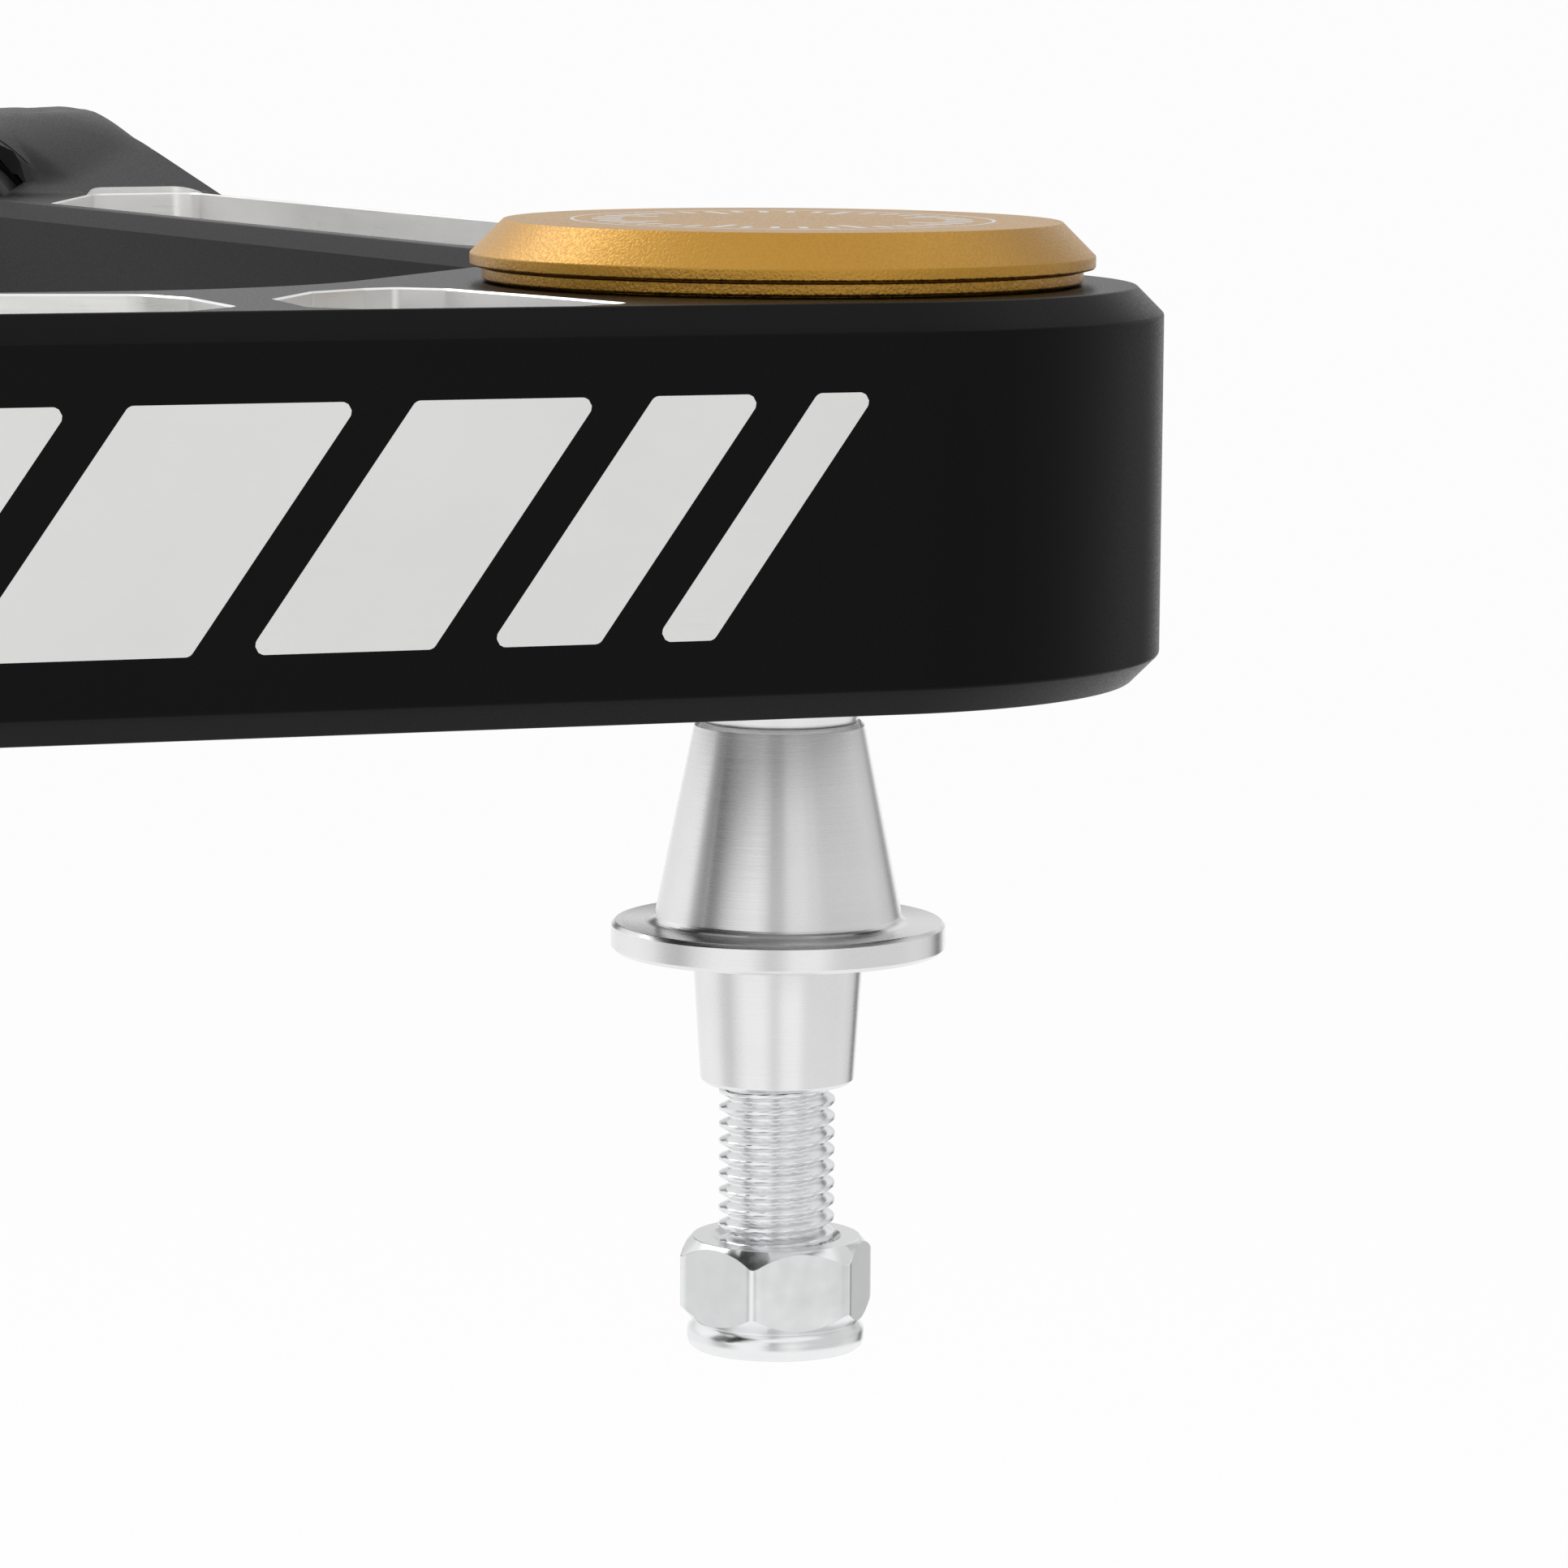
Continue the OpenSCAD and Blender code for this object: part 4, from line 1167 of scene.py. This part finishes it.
studio = {
    # metres, watts and degrees
    "floorHeight": -0.45, "floorSize": 300, "floorShade": 0.93, "floorGlow": 0.92,
    "worldSoft": 0.8, "lampTarget": (0, 0.15, 0),
    "lamps": {
        "keyLamp": {"azimuth": -115, "elevation": 40, "distance": 1.4, "width": 0.8,
                    "height": 0.8, "power": 5.0},
        "frontLamp": {"azimuth": 40, "elevation": 14, "distance": 1.5, "width": 0.9,
                      "height": 0.6, "power": 4.0},
    },
    "tentRadius": 1.2, "tentTop": 1.1,
    # heights over which one row of the tent gives way to the next
    "levelRise": (-0.1, 0.02), "highRise": (0.16, 0.26),
    # brightness of the tent by angle from +X towards +Y, above, at and below the object
    "tentHigh": ((-180, 0.9), (-160, 0.78), (-130, 0.8), (-100, 1), (-80, 1), (-72, 0.3),
                 (-58, 0.08), (-50, 0.5), (-43, 1), (0, 1), (10, 0.85), (14, 0.45), (22, 0.45),
                 (30, 0.62), (60, 0.66), (125, 0.68), (150, 0.75), (163, 0.4), (175, 0.85),
                 (180, 0.85)),
    "tentLevel": ((-180, 0.75), (-140, 0.7), (-120, 0.8), (-75, 0.95), (-66, 0.45),
                  (-57, 0.3), (-49, 0.7), (-42, 1), (0, 1), (10, 0.6), (22, 0.5), (30, 0.7),
                  (60, 0.7), (125, 0.7), (145, 0.6), (180, 0.65)),
    "tentLow": ((-180, 1), (-160, 1), (-130, 0.9), (-95, 0.95), (-75, 0.9), (-60, 0.6),
                (-50, 0.5), (-40, 0.75), (-25, 1), (0, 1), (9, 0.8), (14, 0.58), (22, 0.58),
                (30, 0.75), (48, 0.8), (60, 0.66), (110, 0.68), (130, 0.75), (148, 0.65),
                (164, 0.1), (176, 0.7), (180, 1)),
}


def seenRays(tree):
    # 1 where the background is looked at, straight or in metal or glass
    path = tree.nodes.new("ShaderNodeLightPath")
    direct = addMath(tree, "ADD", path.outputs["Is Camera Ray"], path.outputs["Is Glossy Ray"])
    return addMath(tree, "ADD", direct, path.outputs["Is Transmission Ray"], True)


def makeWorld():
    world = bpy.data.worlds.new("studioWorld")
    bpy.context.scene.world = world
    world.use_nodes = True
    tree = world.node_tree
    sky = tree.nodes["Background"]
    sky.inputs["Color"].default_value = (1, 1, 1, 1)
    extra = addMath(tree, "MULTIPLY", seenRays(tree), 1 - studio["worldSoft"])
    strength = addMath(tree, "ADD", extra, studio["worldSoft"])
    tree.links.new(strength, sky.inputs["Strength"])


def makeFloor():
    size, z, pale = studio["floorSize"] / mm, studio["floorHeight"] / mm, studio["floorShade"]
    points = [(x * size, y * size, z) for x, y in ((-1, -1), (1, -1), (1, 1), (-1, 1))]
    material = bpy.data.materials.new("paleFloor")
    material.use_nodes = True
    tree = material.node_tree
    shader = tree.nodes["Principled BSDF"]
    shader.inputs["Base Color"].default_value = shade(pale, pale, pale)
    shader.inputs["Roughness"].default_value = 0.9
    shader.inputs["Specular IOR Level"].default_value = 0.0
    glow = tree.nodes.new("ShaderNodeEmission")
    glow.inputs["Strength"].default_value = 1
    mix = tree.nodes.new("ShaderNodeMixShader")
    share = addMath(tree, "MULTIPLY", seenRays(tree), studio["floorGlow"])
    tree.links.new(share, mix.inputs[0])
    tree.links.new(shader.outputs[0], mix.inputs[1])
    tree.links.new(glow.outputs[0], mix.inputs[2])
    clear = tree.nodes.new("ShaderNodeBsdfTransparent")     # seen through from below
    under = tree.nodes.new("ShaderNodeMixShader")
    tree.links.new(tree.nodes.new("ShaderNodeNewGeometry").outputs["Backfacing"], under.inputs[0])
    tree.links.new(mix.outputs[0], under.inputs[1])
    tree.links.new(clear.outputs[0], under.inputs[2])
    tree.links.new(under.outputs[0], tree.nodes["Material Output"].inputs["Surface"])
    floor = addMesh("studioFloor", points, [(0, 1, 2, 3)], material)


def addLamp(name, azimuth, elevation, distance, width, height, power):
    target = Vector(studio["lampTarget"])
    a, e = math.radians(azimuth), math.radians(elevation)
    spot = target + distance * Vector((math.cos(a) * math.cos(e), math.sin(a) * math.cos(e),
                                       math.sin(e)))
    data = bpy.data.lights.new(name, "AREA")
    data.shape, data.size, data.size_y, data.energy = "RECTANGLE", width, height, power
    lamp = bpy.data.objects.new(name, data)
    bpy.context.scene.collection.objects.link(lamp)
    lamp.location = spot
    lamp.rotation_mode = "QUATERNION"
    lamp.rotation_quaternion = (target - spot).to_track_quat("-Z", "Y")
    lamp.visible_camera = False


def tentShade(tree, turn, stops):
    ramp = tree.nodes.new("ShaderNodeValToRGB")
    points = ramp.color_ramp.elements
    while len(points) < len(stops):
        points.new(1)
    for point, (degrees, value) in zip(points, stops):
        point.position = (degrees + 180) / 360
        point.color = (value, value, value, 1)
    tree.links.new(turn, ramp.inputs[0])
    return ramp.outputs[0]


def makeTent():
    # pale ring round the object, seen only in reflections: gives metal light and dark streaks
    t = studio
    material = bpy.data.materials.new("studioTent")
    material.use_nodes = True
    tree = material.node_tree
    tree.nodes.remove(tree.nodes["Principled BSDF"])
    split = tree.nodes.new("ShaderNodeSeparateXYZ")
    tree.links.new(tree.nodes.new("ShaderNodeTexCoord").outputs["Object"], split.inputs[0])
    angle = addMath(tree, "ARCTAN2", split.outputs[1], split.outputs[0])
    turn = addMath(tree, "ADD", addMath(tree, "DIVIDE", angle, math.tau), 0.5)
    shadeNow = tentShade(tree, turn, t["tentLow"])
    for stops, (start, stop) in ((t["tentLevel"], t["levelRise"]),
                                 (t["tentHigh"], t["highRise"])):
        rise = tree.nodes.new("ShaderNodeMapRange")
        rise.interpolation_type = "SMOOTHSTEP"
        rise.inputs["From Min"].default_value = start
        rise.inputs["From Max"].default_value = stop
        tree.links.new(split.outputs[2], rise.inputs["Value"])
        mix = tree.nodes.new("ShaderNodeMix")
        mix.data_type = "RGBA"
        tree.links.new(rise.outputs[0], mix.inputs["Factor"])
        tree.links.new(shadeNow, mix.inputs[6])
        tree.links.new(tentShade(tree, turn, stops), mix.inputs[7])
        shadeNow = mix.outputs[2]
    glow = tree.nodes.new("ShaderNodeEmission")
    tree.links.new(shadeNow, glow.inputs["Color"])
    tree.links.new(glow.outputs[0], tree.nodes["Material Output"].inputs["Surface"])
    r, count = t["tentRadius"] / mm, 180
    low, high = t["floorHeight"] / mm + 2, t["tentTop"] / mm
    points = [(r * math.cos(math.tau * i / count), r * math.sin(math.tau * i / count), z)
              for z in (low, high) for i in range(count)]
    faces = [(i, (i + 1) % count, count + (i + 1) % count, count + i) for i in range(count)]
    tent = addMesh("studioTent", points, faces, material, placeAt(0, armSizes["ballY"], 0))
    for ray in ("camera", "diffuse", "transmission", "volume_scatter", "shadow"):
        setattr(tent, "visible_" + ray, False)


makeWorld()
makeFloor()
makeTent()
for name, lamp in studio["lamps"].items():
    addLamp(name, **lamp)
bpy.context.scene.view_settings.view_transform = "Standard"
print("studio made")
